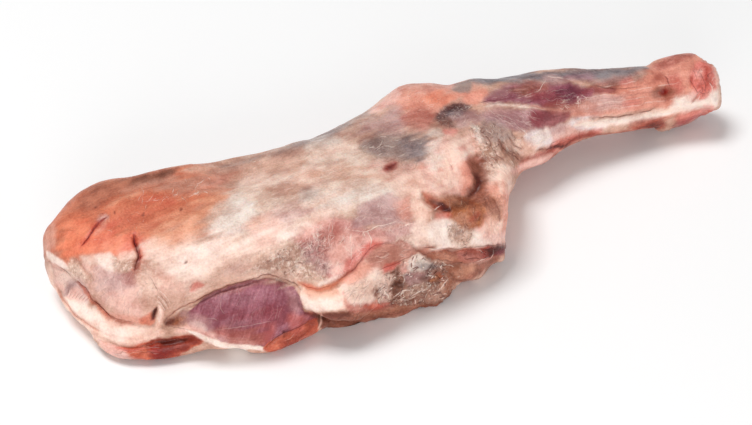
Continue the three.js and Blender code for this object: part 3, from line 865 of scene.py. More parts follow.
# Lean side
# The pink muscle of the near side, under a web of white tissue that thins from speckles to bare meat.
LEAN_CREASE = [(338, 281), (345, 276), (352, 271), (358, 266), (363, 258), (372, 247), (385, 243),
               (396, 241)]
FILLET_FOOT = [(378, 270), (392, 265), (402, 260), (416, 253)]
BRANCHES = [
    [(345, 230), (358, 231), (367, 232), (378, 227), (396, 222)],
    [(362, 231), (364, 234), (365, 237)],
    [(367, 232), (371, 240), (370, 247)],
    [(398, 229), (406, 225), (413, 222)],
]
FILLET = [(370, 262), (378, 248), (412, 246), (396, 262)]
LEAN_SIDE = [
    (roughen, 0.7, 3.5, 4, [(254, 270), (262, 256), (296, 238), (322, 246), (330, 276), (300, 282)]),
    (patch, "beige crumb", 5, 0.9,
     [(248, 272), (260, 256), (280, 248), (296, 240), (318, 246), (322, 266), (332, 282), (310, 284),
      (285, 278), (264, 276)]),
    (patch, "brown film", 3, 0.5, [(262, 280), (274, 270), (296, 272), (304, 280), (288, 282)]),
    (patch, "brown film", 4, 0.4, [(252, 272), (264, 258), (288, 248), (304, 248), (296, 260), (276, 270)]),
    (patch, "pink muscle", 3.5, 1,
     [(294, 240), (306, 228), (322, 218), (340, 219), (356, 220), (372, 230), (400, 222), (416, 220),
      (414, 240), (396, 242), (376, 246), (362, 262), (345, 278), (330, 280), (318, 268), (308, 254)], 60),
    (patch, "mauve film", 4, 0.6, [(302, 246), (318, 244), (328, 256), (330, 270), (316, 272), (304, 262)]),
    (patch, "red muscle", 2.4, 0.5, [(316, 256), (320, 244), (330, 246), (330, 258)]),
    (patch, "red muscle", 3, 0.5, [(318, 236), (328, 226), (340, 226), (344, 240), (336, 248), (324, 242)]),
    (patch, "rose muscle", 3, 0.7,
     [(342, 266), (350, 254), (362, 246), (372, 250), (364, 262), (348, 276)]),
    (patch, "pink fat", 3, 0.8, [(302, 234), (310, 222), (326, 215), (330, 222), (318, 230), (308, 238)]),
    (patch, "cream fat", 3, 0.7, [(300, 224), (312, 214), (330, 210), (326, 218), (312, 226)]),
    (patch, "pink fat", 3, 0.9,
     [(330, 262), (334, 248), (344, 244), (350, 252), (346, 264), (340, 274), (332, 274)]),
    (patch, "pink fat", 2.4, 0.5,
     [(334, 250), (340, 232), (356, 234), (370, 236), (388, 238), (374, 245), (356, 254)]),
    (patch, "mauve film", 3, 0.9,
     [(352, 220), (358, 207), (374, 199), (396, 195), (410, 206), (412, 218), (398, 224), (374, 228),
      (356, 229)], 20),
    (patch, "salmon film", 3, 0.7, [(396, 202), (410, 200), (414, 214), (404, 222), (396, 214)]),
    (patch, "lilac film", 3, 0.7, [(384, 230), (408, 224), (418, 230), (416, 246), (398, 244)]),
    (patch, "beige crumb", 2, 0.6, [(396, 240), (406, 235), (416, 233), (418, 244), (406, 250)]),
    (strew, "pale", 100, 4, 0.2, 0.65, 60, 50,
     [(262, 262), (296, 240), (322, 232), (332, 262), (326, 278), (286, 274)]),
    (strew, "dark", 90, 1.8, 0.34, 0.6, 60, 60,
     [(262, 262), (296, 240), (322, 236), (332, 262), (326, 278), (286, 274)]),
    (strew, "pale", 60, 5, 0.17, 0.55, 60, 40,
     [(300, 240), (318, 220), (344, 226), (372, 236), (360, 258), (340, 276)]),
    (strew, "dark", 30, 3, 0.2, 0.35, 60, 40,
     [(312, 240), (330, 222), (344, 230), (372, 240), (350, 262), (334, 270)]),
    (strew, "pale", 34, 5, 0.16, 0.35, 20, 35,
     [(346, 222), (374, 204), (408, 206), (412, 236), (380, 238)]),
    (groove, 0.9, 1.0, LEAN_CREASE),
    (stroke, "red muscle", 1.4, 1.2, 0.8, [(338, 281), (348, 274), (358, 267), (364, 258)]),
    (stroke, "brick flesh", 0.8, 0.8, 0.8, [(339, 281), (346, 276), (353, 271)]),
    (thread, "dark", 0.24, 0.4, LEAN_CREASE),
    (stroke, "rose muscle", 2.4, 1.6, 1, [(361, 256), (366, 250), (374, 244), (384, 242)]),
    (stroke, "rose muscle", 1.6, 1, 1, [(362, 255), (367, 250), (373, 246)]),
    (stroke, "blood", 0.8, 0.8, 0.5, [(348, 275), (354, 270), (359, 266)]),
    (patch, "red muscle", 0.5, 0.6,
     [(366, 260), (372, 248), (388, 243), (402, 240), (416, 247), (420, 251), (406, 258), (394, 265),
      (378, 270)], 12),
    (patch, "pink fat", 1.6, 0.5, [(364, 264), (372, 262), (380, 266), (372, 274), (364, 272)]),
    (patch, "rose muscle", 1.2, 1,
     [(380, 272), (388, 264), (402, 262), (402, 272), (394, 280), (384, 278)]),
    (stroke, "brick flesh", 0.8, 0.8, 0.5, [(384, 268), (392, 265), (400, 260)]),
    (thread, "dark", 0.25, 0.6, FILLET_FOOT, [(384, 275), (392, 272), (399, 268)]),
    (stroke, "pink fat", 1.4, 1.2, 0.5, [(374, 241), (386, 239)]),
    (strew, "pale", 12, 6, 0.2, 0.35, 12, 12, FILLET),
    (strew, "dark", 14, 6, 0.2, 0.35, 12, 12, FILLET),
    (ledge, 1.2, 4, 0.5, FILLET_FOOT),
    (thread, "pale", 0.28, 0.6, *BRANCHES),
    *[(groove, 0.8, -0.3, line) for line in BRANCHES],
]

# Fat lip
# The edge of the fat hangs over the flap under it, cut short and ragged.
LIP_TOP = [(300, 284), (310, 290), (320, 292), (332, 287), (344, 280), (356, 272)]
LIP_FOOT = [(298, 296), (301, 304), (308, 309), (318, 311), (330, 311), (344, 309), (354, 310), (364, 312),
            (376, 310), (390, 307)]
LIP_END = [(346, 290), (362, 274), (382, 274), (372, 300), (352, 304)]
FAT_LIP = [
    (groove, 1.3, 1.2, LIP_TOP),
    (groove, 1.4, 2.2, LIP_FOOT),
    (ledge, 2.4, 6, 0.4, LIP_FOOT),
    (roughen, 0.6, 3, 2, [(342, 286), (360, 270), (390, 272), (392, 300), (366, 308), (346, 306)]),
    (patch, "peach fat", 0.5, 1,
     [(303, 288), (310, 291), (322, 293), (340, 286), (352, 280), (354, 296), (346, 308), (328, 310),
      (308, 308), (302, 302)]),
    (patch, "white fat", 0.9, 0.75,
     [(302, 297), (312, 299), (330, 300), (342, 302), (338, 309), (324, 311), (306, 308)]),
    (patch, "salmon film", 1.6, 0.9, [(343, 302), (350, 292), (358, 298), (356, 308), (346, 309)]),
    (patch, "apricot film", 2, 0.6,
     [(304, 290), (318, 292), (334, 288), (338, 294), (322, 298), (308, 296)]),
    (patch, "cream fat", 1.8, 0.95,
     [(344, 284), (358, 272), (374, 268), (384, 270), (380, 284), (374, 300), (364, 305), (350, 304)], 70),
    (patch, "tan film", 3, 0.4, [(350, 292), (372, 278), (376, 290), (358, 302)], 70),
    (patch, "coral film", 2.4, 0.8,
     [(342, 280), (352, 272), (362, 264), (372, 268), (360, 278), (350, 284)]),
    (patch, "brown film", 1.8, 1, [(372, 292), (378, 282), (388, 278), (388, 290), (380, 298)]),
    (stroke, "white fat", 1.3, 0.9, 0.6, [(318, 285), (328, 281), (338, 276)]),
    (stroke, "fell", 1.6, 1.4, 0.9, [(298, 282), (310, 288), (320, 290), (333, 285), (344, 278)]),
    (stroke, "red fell", 1, 1, 0.5, [(302, 284), (312, 288), (322, 289)]),
    (thread, "dark", 0.2, 0.45, [(300, 283), (310, 288), (320, 289), (332, 285), (344, 277)]),
    (stroke, "rose muscle", 0.8, 0.8, 0.5, [(342, 290), (344, 295)]),
    (strew, "pale", 22, 5, 0.25, 0.5, 50, 30, LIP_END),
    (strew, "dark", 22, 4, 0.2, 0.35, 50, 30, LIP_END),
    (patch, "brown flesh", 0.6, 1,
     [(318, 314), (340, 312), (370, 308), (400, 302), (430, 300), (462, 288), (472, 296), (440, 307),
      (400, 317), (360, 324), (322, 330)]),
    # Painted shadow under the lip's overhang
    (stroke, "dark fold", 1.4, 1.2, 0.55, [(304, 313), (320, 316), (338, 316), (356, 314)]),
    (patch, "red muscle", 1.6, 0.7,
     [(346, 306), (366, 302), (390, 300), (398, 306), (376, 312), (352, 313)]),
    (stroke, "rust film", 1.4, 1.2, 0.6, [(352, 314), (376, 313), (404, 308), (440, 300)]),
    (stroke, "orange flesh", 1.3, 1, 0.7, [(362, 306), (374, 307), (386, 304)]),
    (stroke, "peach fat", 0.7, 0.6, 0.8, [(321, 313), (321, 321), (318, 329)]),
    (strew, "dark", 30, 4, 0.25, 0.5, 12, 20, [(322, 326), (330, 314), (440, 300), (440, 306), (360, 322)]),
]

# Ragged edge
# Torn film, fat and lean below the elbow, wet, its glisten painted as pale glints.
TORN_EDGE = [(374, 290), (386, 274), (402, 262), (418, 255), (436, 262), (456, 266), (462, 272),
             (452, 290), (440, 302), (420, 304), (396, 306), (382, 306)]
TATTERS = [
    [(404, 273), (405, 279), (404, 285)],
    [(394, 297), (402, 291), (410, 290)],
    [(408, 288), (417, 285), (426, 281)],
    [(384, 290), (388, 296), (390, 302)],
    [(410, 297), (418, 292), (428, 288)],
    [(440, 290), (446, 283), (452, 276)],
    [(376, 294), (382, 288), (388, 284)],
    [(456, 264), (460, 268), (458, 272)],
    [(400, 301), (408, 299), (416, 296)],
    [(398, 275), (403, 276), (405, 281)],
]
RAGGED_EDGE = [
    (roughen, 1.1, 4, 2, TORN_EDGE),
    (roughen, 0.6, 2, 2, TORN_EDGE),
    (dent, 2.2, 1.8, (397, 284)),
    (dent, 3.0, 2.4, (441, 276)),
    (dent, 3.0, 1.6, (414, 279)),
    (dent, 2.0, 1.2, (380, 297)),
    (patch, "torn flesh", 1.4, 1, TORN_EDGE, 30),
    (patch, "cream fat", 1.6, 0.8, [(376, 286), (384, 274), (394, 276), (392, 284), (384, 290)]),
    (patch, "pink fat", 1.6, 0.8, [(400, 266), (412, 257), (422, 260), (414, 270), (404, 274)]),
    (patch, "silverskin", 1.4, 0.8,
     [(408, 264), (416, 257), (426, 259), (434, 264), (426, 269), (412, 273)], 20),
    (patch, "slate film", 1.8, 0.5, [(414, 266), (428, 263), (440, 267), (426, 271)]),
    (patch, "mauve film", 1.6, 0.8,
     [(405, 277), (416, 273), (430, 273), (434, 277), (422, 283), (410, 286)]),
    (stroke, "white fat", 1, 0.8, 0.7, [(408, 262), (416, 256), (424, 258)]),
    # In the dents above: brown, partly painted shade in the hollows
    (patch, "dark fell", 1.0, 0.8,
     [(390, 286), (394, 280), (401, 280), (403, 286), (399, 292), (392, 291)]),
    (patch, "dark fell", 2, 0.7, [(420, 278), (432, 272), (446, 270), (448, 277), (440, 283), (426, 284)]),
    (stroke, "brick flesh", 1, 1, 0.5, [(436, 273), (442, 277), (441, 281)]),
    (stroke, "amber flesh", 1.4, 1.2, 0.7, [(428, 281), (435, 278), (442, 275)]),
    (patch, "rust film", 2, 0.6, [(440, 286), (450, 274), (460, 272), (454, 286), (444, 296)]),
    (patch, "brown flesh", 2, 0.5, [(398, 300), (404, 290), (414, 292), (414, 302)]),
    (patch, "beige crumb", 1.6, 0.5,
     [(404, 292), (412, 286), (424, 281), (430, 284), (422, 291), (410, 297)]),
    (patch, "tan film", 1.6, 0.6, [(426, 298), (436, 290), (444, 288), (442, 298), (432, 303)]),
    (patch, "cream fat", 1.2, 0.6, [(378, 300), (382, 290), (389, 286), (391, 294), (388, 302)]),
    # Painted shade in a small hollow
    (stroke, "dark fold", 0.7, 0.8, 0.5, [(374, 297), (379, 291), (386, 285)]),
    # Torn specks: the dark ones are partly painted shade between the tatters, and the pale ones are painted
    # glints
    (strew, "dark", 90, 2.6, 0.36, 0.85, 30, 40, TORN_EDGE),
    (strew, "pale", 80, 2, 0.34, 1, 30, 40, TORN_EDGE),
    (thread, "pale", 0.35, 0.75, *TATTERS),
    *[(groove, 0.7, -0.7, line) for line in TATTERS],
    (stroke, "brick flesh", 1.2, 1, 0.7, [(364, 304), (368, 307), (372, 305)]),
    (stroke, "rose muscle", 1.3, 1, 0.5, [(374, 308), (383, 305), (391, 302)]),
]

# Cut face under the elbow
# A straight knife cut through the joint's corner, with the red ends of muscle in it.
CUT_TOP = [(416, 247), (435, 248), (455, 248), (478, 247), (496, 245), (508, 241)]
CUT_FACE = [
    (ledge, 2.0, 7, 0.4, CUT_TOP),
    (groove, 1.6, 1.6, [(418, 250), (440, 251), (465, 251), (490, 249)]),
    (patch, "brown flesh", 0.4, 1,
     [(411, 244), (435, 246), (458, 248), (480, 247), (496, 246), (506, 243), (504, 250), (494, 257),
      (482, 262), (466, 264), (448, 262), (426, 257)], 4),
    (patch, "orange flesh", 1.6, 0.3,
     [(420, 249), (456, 250), (484, 250), (480, 260), (450, 261), (428, 256)]),
    (patch, "rust film", 1.6, 0.6, [(428, 252), (446, 252), (456, 256), (450, 262), (436, 260)]),
    (patch, "red muscle", 1.6, 0.7,
     [(458, 252), (476, 251), (488, 252), (484, 259), (468, 262), (458, 259)]),
    (stroke, "pink fat", 0.9, 0.8, 0.8, [(464, 267), (474, 265), (486, 261), (494, 254)]),
    (patch, "blood", 2, 0.6, [(482, 250), (497, 244), (509, 240), (508, 250), (496, 258), (484, 260)]),
    (patch, "dark fold", 1.4, 0.9,
     [(488, 248), (497, 245), (508, 240), (508, 248), (498, 253), (490, 255)]),
    (stroke, "dark fold", 1, 0.8, 1, [(494, 249), (500, 246), (507, 242)]),
    (stroke, "brick flesh", 0.9, 0.8, 0.6, [(460, 251), (478, 250), (492, 247)]),
    (stroke, "blood", 0.9, 0.8, 0.8, [(498, 244), (505, 241), (509, 238)]),
    (stroke, "dark fold", 1.1, 0.7, 0.9, [(465, 268), (468, 266), (470, 265)]),
    (stroke, "wine muscle", 1.2, 1, 0.7, [(496, 254), (503, 251), (507, 248)]),
    # The dark line along the cut's top is a painted shadow under the block's edge
    (thread, "dark", 0.22, 0.5, CUT_TOP, [(426, 256), (440, 260), (456, 261)]),
    (thread, "dark", 0.35, 0.7,
     [(461, 256), (466, 254), (470, 251)], [(466, 260), (474, 258), (480, 259)],
     [(480, 254), (485, 250), (490, 250)], [(484, 258), (490, 256), (494, 252)],
     [(456, 261), (459, 263), (462, 262)]),
    (thread, "pale", 0.25, 0.5,
     [(494, 249), (494, 254), (490, 259)], [(472, 253), (478, 251), (484, 252)],
     [(476, 262), (484, 259), (490, 256)]),
    (strew, "dark", 20, 4, 0.2, 0.4, 4, 14, [(420, 250), (470, 250), (490, 250), (470, 262), (436, 258)]),
    (patch, "brown flesh", 1.6, 1,
     [(446, 263), (468, 264), (486, 261), (498, 256), (496, 264), (484, 272), (466, 282), (454, 280)]),
    (patch, "rust film", 2, 0.8, [(444, 262), (448, 266), (462, 266), (476, 266), (470, 274), (456, 278)]),
]

# Elbow
# A pale knob of bone end under thin film, with a deep fold below it and the block of the joint's corner.
HOLLOW = [(421, 193), (430, 199), (439, 205), (449, 211)]
CLEFT = [(470, 154), (476, 164), (479, 174), (478, 186), (472, 195), (466, 199)]
SINEW_END = [(432, 220), (432, 214), (435, 209), (440, 206)]
BLOCK_TOP = [(446, 228), (460, 222), (476, 230), (468, 245), (450, 243)]
BLOCK_FOLD = [(491, 198), (496, 205), (499, 214), (500, 222)]
AMBER_FOLD = [(446, 204), (462, 198), (484, 204), (480, 222), (460, 224)]
ELBOW = [
    (groove, 2.8, 4.4, HOLLOW),
    (groove, 2.8, 2.6, CLEFT),
    (groove, 0.7, -1.0, SINEW_END),
    (ledge, 1.6, 7, 0.8, [(422, 190), (436, 196), (448, 197), (460, 197), (468, 196)]),
    (roughen, 0.5, 3, 3, [(446, 226), (458, 222), (486, 190), (508, 200), (506, 238), (460, 244)]),
    (patch, "pink fat", 5, 1,
     [(432, 142), (448, 138), (468, 140), (474, 156), (472, 180), (464, 196), (446, 196), (426, 190),
      (420, 176), (430, 152)]),
    (patch, "peach fat", 6, 0.9,
     [(434, 168), (446, 142), (466, 140), (470, 154), (462, 164), (460, 182), (448, 192), (430, 186)]),
    (patch, "silverskin", 4, 0.6, [(428, 144), (440, 142), (442, 160), (434, 168), (426, 160)]),
    (patch, "blush film", 4, 0.5,
     [(388, 176), (404, 168), (424, 166), (428, 186), (424, 200), (410, 204), (396, 196)]),
    (patch, "peach fat", 3, 0.6, [(404, 176), (420, 176), (426, 188), (414, 194), (404, 186)]),
    (patch, "cream fat", 3.5, 0.9, [(412, 200), (426, 196), (432, 216), (424, 240), (416, 228)]),
    (patch, "salmon film", 3, 0.7, [(402, 200), (410, 196), (413, 208), (408, 218), (402, 212)]),
    (patch, "peach fat", 3, 0.8, [(414, 192), (422, 192), (432, 206), (430, 218), (418, 222), (414, 206)]),
    (patch, "cream fat", 3, 1, [(412, 226), (430, 220), (438, 232), (430, 246), (414, 246)]),
    (patch, "white fat", 3, 1,
     [(430, 224), (442, 216), (456, 226), (480, 230), (504, 232), (507, 241), (480, 246), (450, 247),
      (432, 246)]),
    (patch, "pink fat", 3, 0.8, [(474, 228), (500, 222), (508, 230), (507, 241), (494, 244), (482, 238)]),
    (patch, "beige crumb", 2.2, 0.9,
     [(448, 230), (458, 223), (470, 226), (474, 236), (466, 246), (452, 243)]),
    (patch, "tan film", 2.5, 0.6, [(456, 232), (466, 226), (472, 236), (466, 246), (456, 242)]),
    (stroke, "bruise", 1, 1.2, 0.5, [(454, 237), (459, 233), (464, 231)]),
    (stroke, "bruise", 0.8, 0.8, 0.5, [(466, 229), (470, 228), (474, 229)]),
    (strew, "dark", 44, 1.2, 0.3, 0.65, 30, 60, BLOCK_TOP),
    (strew, "pale", 24, 2, 0.25, 0.5, 30, 60, BLOCK_TOP),
    (patch, "coral film", 3, 0.75,
     [(480, 192), (494, 182), (508, 184), (510, 226), (498, 232), (480, 228)]),
    (patch, "peach fat", 2.5, 0.9, [(498, 170), (510, 168), (510, 190), (500, 192)]),
    (patch, "peach fat", 2.5, 0.7, [(486, 222), (496, 214), (504, 222), (500, 232), (484, 232)]),
    (patch, "rust film", 2.5, 0.8,
     [(482, 196), (492, 196), (501, 208), (501, 220), (492, 218), (485, 206)]),
    (patch, "brown flesh", 2, 0.7,
     [(484, 194), (491, 198), (498, 208), (496, 214), (488, 208), (482, 202)]),
    (stroke, "coral film", 1.8, 1.6, 0.8, [(503, 180), (507, 200), (507, 225), (506, 240)]),
    (patch, "amber flesh", 2.2, 1,
     [(440, 202), (450, 196), (460, 196), (470, 198), (482, 202), (486, 214), (480, 226), (466, 229),
      (448, 218)]),
    # Painted shade under the ledge that roofs the hollow
    (patch, "dark fell", 2, 0.75, [(446, 200), (456, 197), (467, 200), (466, 207), (455, 209), (447, 206)]),
    (patch, "brown flesh", 2.5, 0.6, [(468, 205), (480, 204), (484, 214), (476, 222), (468, 214)]),
    (patch, "rust film", 2, 0.8, [(456, 217), (464, 213), (470, 218), (474, 226), (464, 229), (454, 222)]),
    (stroke, "brick flesh", 1.4, 1.4, 0.6, [(468, 221), (474, 219), (480, 212)]),
    (stroke, "rust film", 3.2, 2.4, 0.8, [(421, 194), (430, 200), (440, 202), (456, 198)]),
    (patch, "orange flesh", 1.8, 0.7,
     [(421, 192), (430, 195), (438, 200), (440, 208), (432, 206), (424, 199)]),
    (patch, "rose muscle", 2, 0.6, [(436, 212), (446, 210), (452, 215), (446, 220), (438, 219)]),
    # The hollow's floor: brown and dark red, partly painted shade in the fold
    (patch, "brown flesh", 2, 0.95,
     [(427, 198), (436, 199), (446, 203), (450, 211), (440, 212), (432, 207)]),
    (patch, "dark fold", 1.4, 1, [(437, 203), (442, 202), (448, 206), (451, 211), (444, 212), (438, 208)]),
    (stroke, "dark fold", 1.2, 1.2, 0.9, [(436, 203), (442, 206), (449, 210)]),
    (patch, "coral film", 3, 0.9,
     [(460, 166), (470, 158), (476, 166), (474, 182), (466, 194), (460, 190), (461, 178)]),
    # The cleft below: brick red, brown and dark red, darker toward its core, partly painted shade in the fold
    (patch, "brick flesh", 3, 0.35,
     [(466, 160), (480, 160), (488, 176), (486, 192), (474, 200), (468, 186)]),
    (patch, "brown flesh", 2.6, 0.9,
     [(470, 160), (479, 162), (486, 174), (487, 188), (478, 200), (466, 201), (470, 186), (472, 172)]),
    (patch, "dark fold", 2, 0.8,
     [(475, 173), (480, 173), (482, 182), (480, 191), (473, 196), (469, 197), (475, 186)]),
    (stroke, "dark fold", 1.2, 1.2, 0.8, [(478, 175), (479, 182), (478, 190)]),
    (patch, "brown flesh", 2, 0.7, [(480, 192), (488, 190), (491, 200), (484, 206), (478, 202)]),
    (stroke, "brick flesh", 1.2, 1.2, 0.5, [(430, 204), (436, 207), (442, 209)]),
    (stroke, "silverskin", 2, 1.8, 0.5, [(428, 134), (436, 133), (444, 136)]),
    (thread, "pale", 0.32, 0.75, SINEW_END),
    (stroke, "brown flesh", 0.7, 0.8, 0.6, BLOCK_FOLD),
    (thread, "dark", 0.18, 0.35, BLOCK_FOLD, [(484, 198), (487, 208), (489, 218)]),
    (strew, "dark", 24, 4, 0.2, 0.4, 70, 30, AMBER_FOLD),
    (strew, "pale", 6, 4, 0.18, 0.2, 70, 15, AMBER_FOLD),
    (strew, "dark", 22, 4, 0.18, 0.3, 65, 20, [(486, 200), (500, 196), (506, 220), (494, 226)]),
    (thread, "dark", 0.2, 0.4,
     [(432, 140), (440, 140), (446, 138), (447, 134)], [(450, 164), (452, 167), (453, 170)]),
    (strew, "pale", 14, 5, 0.18, 0.3, 70, 30, [(430, 150), (450, 140), (468, 146), (462, 186), (430, 184)]),
    (stroke, "rose muscle", 1.4, 1.4, 0.35, [(450, 166), (454, 169)]),
    (stroke, "rose muscle", 1.6, 1.6, 0.4, [(458, 150), (466, 148)]),
    (stroke, "rose muscle", 1.4, 1.4, 0.3, [(438, 168), (442, 172)]),
]

# Shoulder point
# The hump over the joint: dried fell again, with a dark bruise beside it.
HUMP_TOP = [(396, 98), (420, 90), (446, 92), (430, 112), (406, 110)]
SHOULDER_POINT = [
    (patch, "coral film", 5, 1,
     [(388, 100), (400, 88), (430, 84), (456, 84), (486, 90), (480, 102), (456, 102), (440, 114),
      (424, 122), (406, 114)], 15),
    (patch, "pink fat", 3, 1, [(370, 112), (384, 98), (396, 90), (402, 94), (392, 103), (380, 111)]),
    (patch, "mauve film", 3, 0.6, [(386, 112), (394, 104), (402, 108), (404, 120), (392, 122)]),
    (patch, "salmon film", 3, 1, [(400, 90), (414, 84), (446, 84), (462, 88), (448, 94), (420, 92)]),
    (patch, "bright fell", 4, 0.6, [(424, 102), (434, 93), (450, 92), (450, 100), (438, 108), (428, 108)]),
    (patch, "salmon film", 4, 0.7, [(414, 108), (430, 104), (440, 108), (430, 120), (416, 118)]),
    (patch, "red muscle", 3, 0.7, [(402, 112), (420, 110), (432, 112), (430, 128), (412, 130), (402, 124)]),
    (patch, "mauve film", 3.5, 0.9,
     [(444, 116), (460, 109), (476, 110), (484, 118), (478, 127), (462, 127), (450, 122)]),
    (patch, "lilac film", 2.5, 0.5, [(458, 122), (468, 120), (478, 124), (470, 129), (460, 128)]),
    (patch, "bruise", 2.4, 0.95,
     [(434, 118), (440, 110), (448, 105), (460, 102), (470, 105), (466, 112), (456, 112), (448, 116),
      (442, 122)]),
    (patch, "bruise", 2.4, 0.8, [(438, 120), (446, 118), (454, 122), (452, 129), (442, 128)]),
    (stroke, "dark fold", 1.4, 1.8, 0.6, [(446, 108), (454, 106), (462, 105)]),
    (stroke, "slate film", 1.8, 1.6, 0.6, [(446, 116), (454, 114), (464, 114)]),
    (stroke, "rose muscle", 2, 1.6, 0.7, [(442, 129), (446, 132), (458, 131)]),
    (patch, "brown flesh", 2.4, 0.6, [(430, 124), (440, 118), (452, 122), (450, 130), (438, 130)]),
    (strew, "dark", 40, 2, 0.22, 0.5, 30, 40,
     [(436, 118), (446, 106), (466, 103), (478, 112), (452, 128), (440, 126)]),
    (strew, "pale", 26, 3, 0.18, 0.35, 20, 30,
     [(440, 120), (450, 108), (470, 106), (480, 118), (464, 127), (450, 126)]),
    (strew, "dark", 16, 3, 0.18, 0.25, 15, 30, HUMP_TOP),
    (strew, "pale", 16, 4, 0.16, 0.3, 15, 30, HUMP_TOP),
    (groove, 1.6, 0.8, [(436, 119), (444, 110), (456, 104)]),
]

# Torn film at the crotch
# Where the shank leaves the elbow, film has torn into threads and crumbs of fat.
CROTCH_FILM = [(470, 126), (490, 123), (508, 131), (520, 136), (524, 146), (518, 158), (506, 168),
               (486, 168), (474, 150)]
CROTCH_LUMPS = [(489, 149), (495, 140), (503, 136), (509, 146), (516, 151), (500, 154), (480, 133)]
CREVICES = [
    [(486, 136), (490, 142), (488, 150)],
    [(498, 138), (502, 146), (508, 153)],
    [(508, 136), (513, 144), (521, 150)],
    [(494, 148), (497, 155), (504, 160)],
]
FILM_TEAR = [(500, 142), (504, 149), (512, 156), (520, 160)]
CROTCH = [
    (roughen, 0.7, 4, 3, CROTCH_FILM),
    (roughen, 0.5, 2, 2, CROTCH_FILM),
    *[(dent, 1.8, -0.9, lump) for lump in CROTCH_LUMPS],
    (patch, "tan film", 3, 1, CROTCH_FILM, 55),
    (patch, "cream fat", 2.5, 0.7, [(496, 136), (512, 136), (520, 144), (516, 152), (504, 148)]),
    (patch, "slate film", 2.4, 0.45,
     [(482, 122), (492, 120), (506, 126), (512, 136), (498, 142), (484, 142)], 60),
    (patch, "blush film", 3, 0.8, [(464, 134), (476, 134), (482, 148), (480, 154), (470, 154)]),
    (patch, "silverskin", 1.8, 0.7, [(472, 126), (479, 126), (482, 140), (477, 140)]),
    (patch, "brown flesh", 2.2, 0.95,
     [(472, 156), (484, 154), (498, 156), (494, 166), (480, 168), (472, 166)], 55),
    (patch, "beige crumb", 3, 0.9, [(482, 142), (496, 144), (502, 152), (492, 158), (480, 154)], 55),
    (patch, "brown flesh", 1.6, 0.45,
     [(499, 141), (506, 142), (514, 151), (524, 157), (520, 163), (508, 158), (502, 151)]),
    (patch, "peach fat", 2, 0.7, [(512, 144), (526, 140), (536, 148), (530, 156), (518, 154)]),
    (patch, "cream fat", 3, 0.9, [(484, 166), (504, 164), (512, 172), (508, 186), (490, 188), (484, 178)]),
    (patch, "beige crumb", 2, 0.6, [(482, 164), (500, 162), (504, 172), (488, 176)]),
    (patch, "pink fat", 2, 0.8, [(498, 174), (510, 172), (508, 186), (498, 184)]),
    (stroke, "pink fat", 2, 1.4, 0.9, [(508, 178), (520, 168), (540, 162), (552, 154)]),
    (strew, "pale", 30, 4, 0.22, 0.6, -58, 20, CROTCH_FILM),
    # Brown and dark lines in the crevices between the lumps, partly painted shade
    *[(stroke, "brown flesh", 0.8, 0.8, 0.5, line) for line in CREVICES],
    (thread, "dark", 0.3, 0.5, *CREVICES),
    (strew, "dark", 24, 3, 0.22, 0.4, -58, 16, CROTCH_FILM),
    (strew, "dark", 40, 1.2, 0.32, 0.75, 30, 60, CROTCH_FILM),
    (thread, "dark", 0.3, 0.6, FILM_TEAR, [(481, 126), (482, 132), (484, 138)]),
    (thread, "pale", 0.3, 0.6,
     [(510, 121), (524, 129), (528, 134), (523, 138)], [(478, 124), (479, 132), (481, 140)]),
    (groove, 1.2, 0.8, FILM_TEAR),
]

